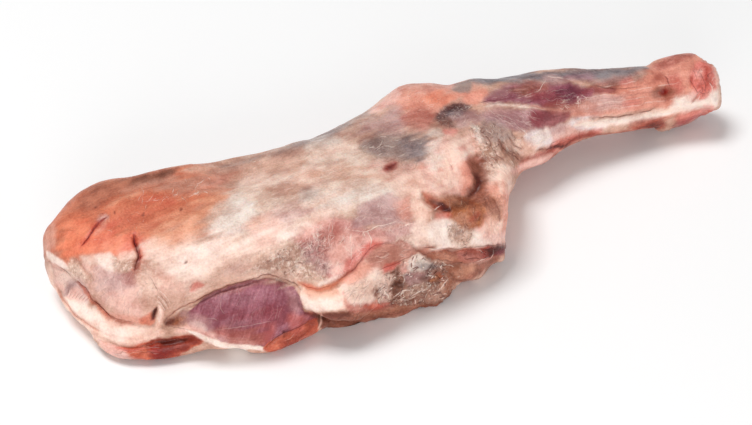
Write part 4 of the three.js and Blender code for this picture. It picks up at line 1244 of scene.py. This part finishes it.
# Shank
# The foreleg bone in its long muscles, purple and wine red between pale tendons.
TENDON = [(478, 107), (500, 106), (530, 107), (564, 111)]
LONG_TENDON = [(574, 124), (600, 121), (630, 118), (660, 113), (692, 107)]
SHANK = [
    (patch, "coral film", 5, 1,
     [(580, 92), (610, 82), (640, 72), (660, 62), (684, 54), (702, 80), (690, 110), (650, 120), (610, 120),
      (572, 116)], 6),
    (patch, "pink fat", 3, 0.8, [(584, 104), (600, 98), (624, 96), (626, 108), (604, 112), (586, 112)]),
    (patch, "lilac film", 3, 0.8, [(586, 94), (612, 94), (622, 100), (606, 110), (588, 108)]),
    (patch, "slate film", 2.4, 1,
     [(456, 84), (500, 72), (540, 72), (580, 69), (620, 67), (646, 63), (640, 71), (612, 79), (560, 80),
      (520, 82), (490, 84), (474, 84)], 8),
    (stroke, "bruise", 1, 1, 0.5, [(516, 81), (548, 73), (580, 70), (612, 69), (640, 66)]),
    (patch, "grey film", 1.8, 1, [(452, 90), (460, 84), (471, 83), (470, 90), (462, 94)]),
    (patch, "mauve film", 2, 0.7, [(542, 76), (556, 75), (572, 80), (564, 84), (548, 84)]),
    (patch, "purple muscle", 2, 0.5, [(564, 77), (580, 72), (596, 74), (590, 80), (570, 81)]),
    (patch, "purple muscle", 2.4, 0.5, [(588, 80), (612, 78), (630, 74), (630, 82), (604, 87)]),
    (patch, "grey film", 2.4, 0.5, [(592, 80), (612, 75), (642, 70), (642, 80), (616, 86), (596, 88)]),
    (patch, "brown flesh", 2.5, 0.6, [(584, 88), (604, 84), (620, 84), (614, 92), (594, 94)]),
    (patch, "coral film", 2.4, 0.9, [(460, 100), (474, 92), (486, 90), (486, 97), (474, 104)]),
    (patch, "purple muscle", 2.2, 1,
     [(484, 100), (496, 90), (516, 83), (545, 83), (575, 85), (594, 90), (588, 100), (572, 106),
      (540, 106), (512, 101), (492, 104)], 8),
    (patch, "brown flesh", 3, 0.8, [(510, 90), (524, 84), (548, 84), (546, 93), (524, 96)]),
    (patch, "mauve film", 2.5, 0.5, [(486, 96), (496, 89), (508, 86), (508, 92), (496, 98)]),
    (patch, "wine muscle", 3.5, 0.85, [(530, 92), (552, 89), (580, 89), (586, 96), (570, 103), (540, 102)]),
    (patch, "deep purple", 3, 0.7, [(558, 88), (572, 86), (580, 92), (572, 99), (560, 98)]),
    (patch, "mauve film", 2.5, 1,
     [(484, 112), (512, 109), (540, 110), (550, 118), (536, 130), (505, 128), (488, 124)], -20),
    (patch, "purple muscle", 3, 0.35,
     [(488, 112), (514, 110), (538, 112), (534, 128), (506, 127), (490, 122)]),
    (patch, "lilac film", 2.5, 0.5, [(484, 108), (500, 108), (512, 112), (500, 116), (488, 114)]),
    (patch, "wine muscle", 2.4, 0.9,
     [(530, 113), (552, 108), (572, 110), (568, 118), (556, 127), (534, 128)]),
    (patch, "red muscle", 2.5, 0.6, [(546, 104), (566, 102), (576, 108), (564, 114), (550, 112)]),
    (patch, "salmon film", 2.5, 0.7, [(572, 104), (590, 100), (596, 108), (584, 114), (572, 112)]),
    # The pale tendon, with a painted highlight along it
    (stroke, "silverskin", 0.8, 0.9, 0.6, [(486, 106), (500, 105), (514, 105), (530, 107)]),
    (stroke, "white fat", 0.5, 0.7, 0.3, [(484, 107), (505, 105), (522, 106), (538, 109)]),
    (thread, "pale", 0.24, 0.45, [(482, 107), (505, 105), (525, 107), (548, 110)]),
    (stroke, "salmon film", 0.7, 0.8, 0.7, [(528, 107), (550, 109), (574, 112)]),
    (thread, "dark", 0.3, 0.6,
     [(480, 102), (500, 100), (514, 97)], [(592, 117), (612, 117), (634, 114), (656, 108)],
     [(584, 86), (600, 87), (622, 89), (640, 86)]),
    (thread, "pale", 0.22, 0.5,
     [(515, 99), (523, 96), (530, 93), (539, 90), (543, 84), (547, 78)], [(547, 77), (560, 78), (570, 80)],
     [(486, 104), (500, 102), (512, 100)]),
    (strew, "pale", 40, 7, 0.14, 0.22, 8, 8, [(492, 100), (510, 88), (586, 90), (570, 104), (520, 100)]),
    (strew, "dark", 40, 7, 0.16, 0.3, 8, 8, [(492, 100), (510, 86), (590, 88), (574, 104), (520, 100)]),
    (strew, "pale", 24, 6, 0.18, 0.35, -25, 14,
     [(488, 114), (530, 112), (540, 122), (524, 130), (496, 124)]),
    (strew, "dark", 20, 5, 0.16, 0.3, -20, 14,
     [(488, 114), (530, 112), (556, 116), (540, 124), (496, 124)]),
    # The sheath under the shank, pale and whitened further as painted sheen; the white patch in it is a
    # painted highlight
    (patch, "wet sheath", 2, 0.85,
     [(524, 140), (532, 131), (552, 129), (566, 124), (562, 134), (550, 144), (532, 150)]),
    (patch, "white fat", 1.4, 0.5, [(530, 140), (538, 131), (550, 128), (548, 138), (536, 146)]),
    # The pale tendon, whitened as a painted highlight, here and in the sheath patch below
    (patch, "white fat", 1.2, 0.9, [(572, 123), (584, 118), (602, 119), (598, 125), (580, 128)]),
    (strew, "dark", 20, 4, 0.24, 0.6, 30, 25, [(540, 150), (556, 142), (596, 128), (600, 132), (556, 152)]),
    (patch, "pink fat", 2.4, 0.8, [(554, 130), (568, 124), (584, 126), (584, 134), (566, 138), (552, 142)]),
    (patch, "wet sheath", 2.2, 1, [(568, 122), (584, 117), (606, 118), (606, 127), (584, 130)]),
    (patch, "mauve film", 2, 0.5, [(552, 128), (562, 124), (566, 130), (556, 134)]),
    (patch, "rose muscle", 1.8, 0.8,
     [(546, 148), (556, 140), (572, 135), (600, 129), (598, 134), (574, 142), (558, 152), (550, 158)]),
    (patch, "red muscle", 1.8, 0.9,
     [(518, 162), (532, 153), (550, 150), (556, 156), (538, 168), (520, 172)]),
    # Darker along the shank's lower edge: brick and dark red, partly painted shade where the underside turns
    # away
    (stroke, "brick flesh", 1.3, 1, 0.7, [(548, 152), (558, 146), (574, 139), (598, 132)]),
    (stroke, "dark fold", 0.9, 0.8, 0.9, [(545, 150), (552, 147), (562, 147), (570, 142)]),
    (stroke, "brown flesh", 0.8, 0.8, 0.6, [(528, 152), (538, 150), (546, 148)]),
    (stroke, "brown flesh", 1, 0.9, 0.6, [(514, 158), (520, 158), (526, 156)]),
    (stroke, "peach fat", 0.9, 0.9, 0.6, [(524, 150), (534, 147), (544, 144)]),
    (stroke, "peach fat", 3, 1.3, 1, LONG_TENDON),
    (stroke, "white fat", 2, 1.2, 0.9, [(576, 125), (606, 123), (640, 118), (676, 112)]),
    (stroke, "brick flesh", 1.2, 1, 0.7, [(586, 136), (612, 134), (636, 130)]),
    (stroke, "brown flesh", 0.9, 0.8, 0.6, [(588, 118), (612, 117), (634, 113), (656, 108)]),
    (stroke, "wine muscle", 1.5, 1.5, 0.7, [(580, 92), (598, 91), (616, 89)]),
    (patch, "red muscle", 5, 0.16, [(586, 98), (620, 90), (652, 84), (662, 104), (620, 112), (590, 114)]),
    (stroke, "rose muscle", 2.2, 2, 0.5, [(620, 83), (628, 82), (634, 80)]),
    (stroke, "rose muscle", 2.6, 2.4, 0.5, [(622, 104), (632, 103), (640, 100)]),
    # Painted highlight: a pale stroke for a glint on the tendon
    (stroke, "pink fat", 1.6, 1.4, 0.6, [(578, 108), (590, 106), (602, 104)]),
    (stroke, "dark fell", 1.8, 1.8, 0.35, [(652, 73), (660, 70), (668, 70)]),
    (stroke, "brown flesh", 1.8, 1.8, 0.8, [(652, 74), (658, 69), (668, 64)]),
    (patch, "red muscle", 2.4, 0.9, [(654, 76), (654, 66), (668, 64), (668, 76), (654, 82)]),
    # Painted glints: pale threads along the sheen of the sheath and tendon
    (thread, "pale", 0.3, 0.7,
     [(526, 143), (534, 136), (547, 131)], [(530, 147), (540, 141), (553, 134)],
     [(574, 126), (590, 122), (604, 121)]),
    # Painted sheen: faint pale lines along the shank's middle
    (thread, "pale", 0.35, 0.28,
     [(575, 100), (606, 95), (648, 88), (680, 82)], [(584, 112), (618, 108), (655, 102), (684, 98)],
     [(580, 106), (600, 104), (630, 99), (652, 96)], [(596, 88), (622, 84), (646, 79)]),
    (thread, "dark", 0.28, 0.2,
     [(576, 104), (610, 98), (652, 92), (670, 90)], [(586, 109), (618, 104), (648, 100)],
     [(566, 94), (592, 93), (622, 89), (650, 83)], [(600, 84), (624, 80), (644, 75)]),
    (strew, "pale", 20, 3, 0.2, 0.6, 10, 40, [(548, 100), (590, 96), (600, 108), (560, 108)]),
    (patch, "brick flesh", 1.6, 0.9, [(628, 128), (646, 121), (660, 120), (666, 126), (652, 131)]),
    (patch, "dark fold", 1.2, 0.7, [(636, 127), (648, 124), (660, 125), (652, 129)]),
    (stroke, "brick flesh", 1.2, 1.2, 0.7, [(630, 124), (646, 120), (668, 118)]),
    (groove, 1.4, 1.3, [(560, 116), (590, 118), (612, 117), (634, 114), (662, 108)]),
    (groove, 1.4, -1.2, TENDON),
    (groove, 1.2, 1.2, [(484, 101), (507, 99), (535, 94)]),
    (groove, 1.5, 1.2, [(580, 88), (610, 87), (640, 85)]),
    (groove, 1.3, 0.8, [(592, 102), (620, 99), (650, 96)]),
    (groove, 1.2, -0.8, [(590, 96), (620, 93), (650, 90)]),
    (groove, 1.3, -1.0, LONG_TENDON),
    (groove, 1.2, 1.4, [(528, 151), (545, 149), (560, 144), (575, 138)]),
]

# Knuckle
# The wrist joint, sawn off: torn tendon ends, red at the break, with a cap of white gristle below.
BREAK = [(700, 72), (705, 84), (702, 97)]
KNUCKLE = [
    (groove, 1.8, 1.8, [(698, 58), (694, 74), (690, 90)]),
    (groove, 1.4, 1.2, [(676, 102), (684, 94), (694, 92)]),
    (groove, 1.1, 1.2, BREAK),
    (dent, 3, -1.2, (708, 72)),
    (dent, 3, -1.2, (709, 100)),
    (dent, 4, -1.2, (684, 68)),
    (roughen, 0.8, 3.5, 3, [(692, 60), (716, 64), (719, 96), (700, 108), (678, 106), (690, 90)]),
    (patch, "coral film", 3, 1, [(650, 72), (668, 56), (686, 53), (702, 58), (698, 78), (676, 80)]),
    (patch, "red muscle", 2.4, 0.9, [(656, 66), (668, 55), (686, 50), (696, 54), (684, 60), (666, 68)]),
    (patch, "red muscle", 3, 0.6, [(664, 80), (674, 74), (682, 82), (680, 98), (666, 100)]),
    (patch, "coral film", 3, 0.7, [(680, 68), (692, 60), (698, 68), (694, 80), (684, 80)]),
    (patch, "red muscle", 4, 0.2, [(654, 76), (668, 58), (690, 56), (692, 80), (664, 86)]),
    (patch, "rose muscle", 3, 0.5, [(668, 80), (676, 76), (682, 82), (680, 92), (670, 90)]),
    (patch, "rose muscle", 2, 0.95, [(694, 66), (706, 62), (716, 72), (715, 90), (704, 94), (692, 90)]),
    (patch, "pink fat", 2, 0.9, [(694, 70), (702, 68), (704, 78), (697, 82)]),
    (patch, "brick flesh", 1.6, 0.35, [(703, 68), (711, 70), (711, 86), (704, 88)]),
    (patch, "white fat", 2.5, 0.95,
     [(672, 104), (680, 95), (694, 94), (704, 94), (717, 90), (717, 106), (704, 111), (688, 111),
      (674, 110)]),
    (patch, "white fat", 2, 0.9, [(700, 98), (712, 94), (716, 104), (704, 109)]),
    (patch, "pink fat", 1.8, 0.6, [(690, 90), (700, 90), (704, 98), (694, 102), (686, 98)]),
    (patch, "rose muscle", 2, 0.8,
     [(674, 120), (684, 112), (700, 109), (713, 107), (712, 114), (696, 120), (682, 126)]),
    # Darker along the knuckle's lower edge: wine-red muscle, partly painted shade of its underside
    (stroke, "wine muscle", 1.2, 1.2, 0.7, [(672, 128), (682, 123), (692, 119), (706, 115)]),
    (stroke, "blood", 1, 1, 0.7, [(698, 84), (700, 90), (701, 96)]),
    (patch, "rose muscle", 2.4, 0.6, [(692, 66), (704, 62), (714, 70), (714, 90), (702, 94), (692, 88)]),
    (stroke, "blood", 0.9, 0.9, 0.6, [(691, 76), (692, 80), (692, 84)]),
    (stroke, "blood", 0.8, 0.9, 0.6, [(705, 66), (707, 76), (707, 86)]),
    # Painted light: this pale stroke lightens the knuckle's right rim, which faces away from the key light
    (stroke, "pink fat", 1.2, 1.2, 0.8, [(713, 66), (717, 76), (718, 90)]),
    (patch, "rose muscle", 1.4, 0.8, [(696, 90), (706, 90), (708, 99), (698, 100)]),
    (stroke, "brick flesh", 0.8, 0.8, 0.7, [(697, 96), (695, 99), (693, 103)]),
    (strew, "dark", 14, 3, 0.25, 0.55, 80, 30, [(692, 66), (714, 66), (716, 92), (698, 96)]),
    (strew, "pale", 10, 2.5, 0.25, 0.6, 80, 30, [(690, 66), (714, 66), (716, 100), (690, 104)]),
    (thread, "dark", 0.3, 0.6, BREAK, [(690, 80), (695, 88), (697, 94)], [(664, 76), (668, 80), (670, 85)]),
    # Painted glints: pale threads as highlights on the wet knuckle
    (thread, "pale", 0.3, 0.6, [(678, 101), (683, 98), (688, 94)], [(709, 83), (712, 89), (711, 95)]),
    (patch, "brown flesh", 2.4, 0.8, [(652, 92), (660, 86), (670, 86), (676, 91), (668, 98), (656, 98)]),
    (stroke, "brick flesh", 2, 1.6, 0.9, [(658, 93), (664, 92), (670, 90)]),
    (stroke, "blood", 1.4, 1.2, 0.9, [(661, 93), (665, 92), (668, 91)]),
    (dent, 2.6, 1.6, (665, 92)),
    (dent, 4, 1.4, (701, 84)),
]

# Dressing
# The carving of every region comes first, as it moves the skin; then each tissue is laid where the moved
# skin shows. The sides that lean away are lean and film in large soft fields.
SWELL_MM = {16: 0.55, 6: 0.25}
CARVING = (groove, ledge, dent, pull, roughen)
joint = [*OUTLINE, *SLAB, *BLADE_END, *CORNER, *BARE_MUSCLE, *LEAN_SIDE, *FAT_LIP, *RAGGED_EDGE, *CUT_FACE,
         *SHOULDER_POINT, *SHANK, *CROTCH, *ELBOW, *KNUCKLE]
for work, *details in joint:
    if work in CARVING:
        work(*details)
for length, height in SWELL_MM.items():
    rise += height * np.array([noise.noise(Vector(p) / (length * MM)) for p in start])
start += (normals * rise[:, None] + drawn) * MM
start[:, 2] = np.maximum(start[:, 2], 0)
skin.vertices.foreach_set("co", start.ravel())
skin.polygons.foreach_set("use_smooth", np.ones(len(skin.polygons), bool))
skin.update()
places, hidden = look()
for work, *details in joint:
    if work not in CARVING:
        work(*details)

FAR_BLEND = (4.0, 26.0)
FAR_FIELD_MM = 30
FAR_FIELD_NOISE = (1.0, 2.0, 3)
FAR_UNEVEN = 0.4
away = ramp(hidden, *FAR_BLEND)
broad = np.array([noise.fractal(Vector(p) / (FAR_FIELD_MM * MM), *FAR_FIELD_NOISE) for p in start])
tissue_of += away[:, None] * (swatch("pink muscle") - tissue_of)
tissue_of[:, FIRST_QUALITY] += away * FAR_UNEVEN * broad

# Raw lamb
# Wet protein and fat: satin under thin film, glossier where it is torn; light sinks a little way in.
# Large and fine unevenness breaks the films' edges, and fibres run along each muscle.
STAIN_MM = 22.0
MOTTLE_MM = 7.0
GRIT_MM = 1.1
CRUMB_MM = 1.8
WEB_MM = 9.0
FIBRE_MM = (14.0, 1.5)
SMEAR_MM = (45.0, 6.0)


def keep(name, kind, values):
    """Stores values for each point of the skin, for the material to read."""
    attribute = skin.attributes.new(name, kind, "POINT")
    part = {"FLOAT_COLOR": "color", "FLOAT_VECTOR": "vector", "FLOAT": "value"}[kind]
    attribute.data.foreach_set(part, np.ascontiguousarray(values, dtype=np.float32).ravel())


opaque = np.ones((COUNT, 1))
keep("top", "FLOAT_COLOR", np.hstack([tissue_of[:, 0:3], opaque]))
keep("under", "FLOAT_COLOR", np.hstack([tissue_of[:, 3:6], opaque]))
for column, name in enumerate(QUALITIES):
    keep(name, "FLOAT", tissue_of[:, FIRST_QUALITY + column])
for kind, layers in threads.items():
    for number, values in enumerate(layers):
        keep(f"{kind}_{number}", "FLOAT_VECTOR", values)

# Fibres are laid flat in the camera's view where it sees them, and along the joint behind that
HIDDEN_MM = 2
FAR_SLOPE = 0.7
turned = np.radians(grain_turn)
flat = places * MM_PER_PIXEL
flat[:, 1] *= -1
behind = hidden > HIDDEN_MM
around = FAR_SLOPE * start[behind, 1] + FAR_SLOPE * start[behind, 2]
flat[behind] = np.stack([start[behind, 0], around], 1) / MM
turned[behind] = 0
keep("grain", "FLOAT_VECTOR", np.stack([
    flat[:, 0] * np.cos(turned) + flat[:, 1] * np.sin(turned),
    flat[:, 1] * np.cos(turned) - flat[:, 0] * np.sin(turned),
    np.zeros(COUNT),
], 1))


def add(kind, inputs=None, **settings):
    """Adds a node, with its settings and what its inputs take."""
    node = nodes.new(kind)
    for name, value in settings.items():
        setattr(node, name, value)
    for name, value in (inputs or {}).items():
        if isinstance(value, bpy.types.NodeSocket):
            links.new(value, node.inputs[name])
        else:
            node.inputs[name].default_value = value
    return node


raw_lamb = bpy.data.materials.new("raw_lamb")
raw_lamb.use_nodes = True
nodes = raw_lamb.node_tree.nodes
links = raw_lamb.node_tree.links
nodes.clear()
quality = {name: add("ShaderNodeAttribute", attribute_name=name).outputs["Fac"] for name in QUALITIES}
top = add("ShaderNodeAttribute", attribute_name="top").outputs["Color"]
under = add("ShaderNodeAttribute", attribute_name="under").outputs["Color"]
grain = add("ShaderNodeAttribute", attribute_name="grain").outputs["Vector"]
at = add("ShaderNodeTexCoord").outputs["Object"]
run = {}
for name, (length, width) in (("fibre", FIBRE_MM), ("smear", SMEAR_MM)):
    run[name] = add("ShaderNodeVectorMath", {0: grain, 1: (1 / length, 1 / width, 0)}, operation="MULTIPLY")

# Each pattern: what it is laid along, how many of its features fit in that one's unit, its detail and its
# roughness. Object coordinates are in metres.
METRE_MM = 1000
PATTERNS = {
    "stain": (at, METRE_MM / STAIN_MM, 3, 0.5),
    "mottle": (at, METRE_MM / MOTTLE_MM, 4, 0.5),
    "grit": (at, METRE_MM / GRIT_MM, 2, 0.5),
    "crumb": (at, METRE_MM / CRUMB_MM, 3, 0.6),
    "fibre": (run["fibre"].outputs[0], 1, 3, 0.55),
    "smear": (run["smear"].outputs[0], 1, 3, 0.55),
    "web": (at, METRE_MM / WEB_MM, 3, 0.55),
}
pattern = {}
for name, (vector, scale, detail, roughness) in PATTERNS.items():
    cloud = {"Vector": vector, "Scale": scale, "Detail": detail, "Roughness": roughness}
    pattern[name] = add("ShaderNodeTexNoise", cloud).outputs["Fac"]

# The patterns about their middle, the two along the fibres only as far as a tissue shows fibre
NOISE_MIDDLE = 0.5
about = {}
for name in ("stain", "mottle", "grit", "fibre", "smear", "web"):
    middle = {0: pattern[name], 1: NOISE_MIDDLE}
    about[name] = add("ShaderNodeMath", middle, operation="SUBTRACT").outputs[0]
for name in run:
    fibrous = {0: about[name], 1: quality["fibre"]}
    about[name] = add("ShaderNodeMath", fibrous, operation="MULTIPLY").outputs[0]

# How far the film shows at each place, and how bright it is, both made uneven at every scale
UNEVEN = {
    "cover": {"stain": 0.5, "mottle": 0.9, "grit": 0.4, "smear": 0.9, "fibre": 0.5},
    "shade": {"mottle": 0.3, "grit": 0.25, "stain": 0.2, "fibre": 0.2},
}
level = {"cover": quality["cover"], "shade": 1.0}
for name, weights in UNEVEN.items():
    for source, weight in weights.items():
        uneven = {0: about[source], 1: weight, 2: level[name]}
        level[name] = add("ShaderNodeMath", uneven, operation="MULTIPLY_ADD").outputs[0]

# Smooth steps: through which value, from where to where, and up to how much
off_web = add("ShaderNodeMath", {0: about["web"]}, operation="ABSOLUTE").outputs[0]
STEPS = {
    "film": (level["cover"], 0.2, 0.8, 1.0),
    "specks": (pattern["crumb"], 0.55, 0.68, 0.55),
    "grains": (pattern["crumb"], 0.47, 0.36, 0.6),
    "veins": (off_web, 0.03, 0.0, 0.6),
    "webbed": (pattern["stain"], 0.42, 0.58, 1.0),
    "unbroken": (pattern["mottle"], 0.34, 0.52, 1.0),
}
step = {}
for name, (value, low, high, most) in STEPS.items():
    limits = {"Value": value, "From Min": low, "From Max": high, "To Max": most}
    step[name] = add("ShaderNodeMapRange", limits, interpolation_type="SMOOTHSTEP").outputs["Result"]

# Film over what lies under it, then dark and light crumbs of fat, and the white web. These are the places
# of a colour Mix node's sockets.
AMOUNT, FIRST, SECOND, RESULT = 0, 6, 7, 2
PALE = (*linear("#ffe8da"), 1)
DARK = (*linear("#8c4a40"), 1)
SPECK = (*linear("#86604e"), 1)
webbed = add("ShaderNodeMath", {0: quality["web"], 1: step["webbed"]}, operation="MULTIPLY").outputs[0]
film = {AMOUNT: step["film"], FIRST: under, SECOND: top}
tone = add("ShaderNodeMix", film, data_type="RGBA").outputs[RESULT]
for name, shows, colour in (
    ("specks", quality["crumb"], SPECK),
    ("grains", quality["crumb"], PALE),
    ("veins", webbed, PALE),
):
    amount = add("ShaderNodeMath", {0: step[name], 1: shows}, operation="MULTIPLY").outputs[0]
    over = {AMOUNT: amount, FIRST: tone, SECOND: colour}
    tone = add("ShaderNodeMix", over, data_type="RGBA").outputs[RESULT]

# The fine threads: they fade at their edge, in half widths, and in mm from their line, and break in places
THREAD_EDGE = (1.7, 0.2)
THREAD_FAR = (2.4, 1.6)
lines = {}
for kind, colour, way in (("pale", PALE, "MIX"), ("dark", DARK, "MULTIPLY")):
    lines[kind] = 0.0
    for number in range(THREAD_LAYERS):
        kept = add("ShaderNodeAttribute", attribute_name=f"{kind}_{number}").outputs["Vector"]
        side, gap, shown = add("ShaderNodeSeparateXYZ", {0: kept}).outputs
        apart = add("ShaderNodeMath", {0: side}, operation="ABSOLUTE").outputs[0]
        fades = [step["unbroken"]]
        for value, (low, high) in ((apart, THREAD_EDGE), (gap, THREAD_FAR)):
            limits = {"Value": value, "From Min": low, "From Max": high}
            fade = add("ShaderNodeMapRange", limits, interpolation_type="SMOOTHSTEP")
            fades.append(fade.outputs["Result"])
        for fade in fades:
            shown = add("ShaderNodeMath", {0: shown, 1: fade}, operation="MULTIPLY").outputs[0]
        lines[kind] = add("ShaderNodeMath", {0: lines[kind], 1: shown}, operation="MAXIMUM").outputs[0]
    over = {AMOUNT: lines[kind], FIRST: tone, SECOND: colour}
    tone = add("ShaderNodeMix", over, data_type="RGBA", blend_type=way).outputs[RESULT]
tone = add("ShaderNodeHueSaturation", {"Color": tone, "Value": level["shade"]}).outputs["Color"]

# Gloss, from satin to wet, and a fine relief
MOTTLED_GLOSS = 0.6
FIBRE_RELIEF = 0.5
RELIEF_MM = 1.0
gloss_parts = {0: pattern["mottle"], 1: MOTTLED_GLOSS, 2: quality["wet"]}
gloss = add("ShaderNodeMath", gloss_parts, operation="MULTIPLY_ADD").outputs[0]
satin_to_wet = {"Value": gloss, "From Min": 0.4, "From Max": 1.2, "To Min": 0.55, "To Max": 0.2}
rough = add("ShaderNodeMapRange", satin_to_wet)
fibrous = add("ShaderNodeMath", {0: quality["fibre"], 1: FIBRE_RELIEF}, operation="MULTIPLY").outputs[0]
height = pattern["mottle"]
for part, weight in (
    (pattern["grit"], 0.4),
    (pattern["fibre"], fibrous),
    (lines["pale"], 0.4),
    (lines["dark"], -0.5),
    (pattern["crumb"], quality["crumb"]),
):
    height = add("ShaderNodeMath", {0: part, 1: weight, 2: height}, operation="MULTIPLY_ADD").outputs[0]
bump = add("ShaderNodeBump", {"Height": height, "Strength": 0.75, "Distance": RELIEF_MM * MM})
shader = add("ShaderNodeBsdfPrincipled", {
    "Base Color": tone,
    "Roughness": rough.outputs["Result"],
    "IOR": 1.4,
    "Specular IOR Level": 0.25,
    "Normal": bump.outputs["Normal"],
    "Subsurface Weight": 0.12,
    "Subsurface Radius": (1.0, 0.35, 0.2),
    "Subsurface Scale": 2 * MM,
    "Coat Weight": 0.1,
    "Coat Roughness": 0.2,
})
add("ShaderNodeOutputMaterial", {"Surface": shader.outputs["BSDF"]})
skin.materials.clear()
skin.materials.append(raw_lamb)

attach(meat, "root")
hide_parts("lamb_shoulder")

# Table
# A pale, plain surface, wide enough that no edge of it shows.
TABLE_REACH = 6.0
TABLE_COLOUR = (*linear("#fcfcfc"), 1)
table_form = bmesh.new()
bmesh.ops.create_grid(table_form, x_segments=1, y_segments=1, size=TABLE_REACH)
table_mesh = bpy.data.meshes.new("table")
table_form.to_mesh(table_mesh)
table_form.free()
table = bpy.data.objects.new("table", table_mesh)
scene.collection.objects.link(table)
pale = bpy.data.materials.new("pale_paint")
pale.use_nodes = True
nodes = pale.node_tree.nodes
links = pale.node_tree.links
nodes.clear()
shader = add("ShaderNodeBsdfPrincipled", {"Base Color": TABLE_COLOUR, "Roughness": 0.6})
add("ShaderNodeOutputMaterial", {"Surface": shader.outputs["BSDF"]})
table_mesh.materials.append(pale)

# Light
# A large soft box high up and behind, a lower one in front and a weak one at the right, in a white room.
# The high one stands well back, so that its light is even over the table.
WHITE = (1, 1, 1, 1)
ROOM_STRENGTH = 0.34
JOINT_MIDDLE = (0, 0, 0.02)
scene.view_settings.view_transform = "Standard"
world = bpy.data.worlds.new("white_room")
scene.world = world
world.use_nodes = True
room = world.node_tree.nodes["Background"]
room.inputs["Color"].default_value = WHITE
room.inputs["Strength"].default_value = ROOM_STRENGTH


def soft_box(name, place, size, watts):
    """A square area light that faces the joint: its place and size are in metres."""
    lamp = bpy.data.lights.new(name, "AREA")
    lamp.size = size
    lamp.energy = watts
    box = bpy.data.objects.new(name, lamp)
    scene.collection.objects.link(box)
    box.location = place
    box.rotation_mode = "QUATERNION"
    box.rotation_quaternion = (Vector(JOINT_MIDDLE) - Vector(place)).to_track_quat("-Z", "Y")


soft_box("key", (-0.64, 0.5, 2.22), 1.0, 36.0)
soft_box("fill", (-0.35, -1.05, 0.30), 0.5, 4.5)
soft_box("side", (0.95, -0.45, 0.24), 0.4, 2.0)
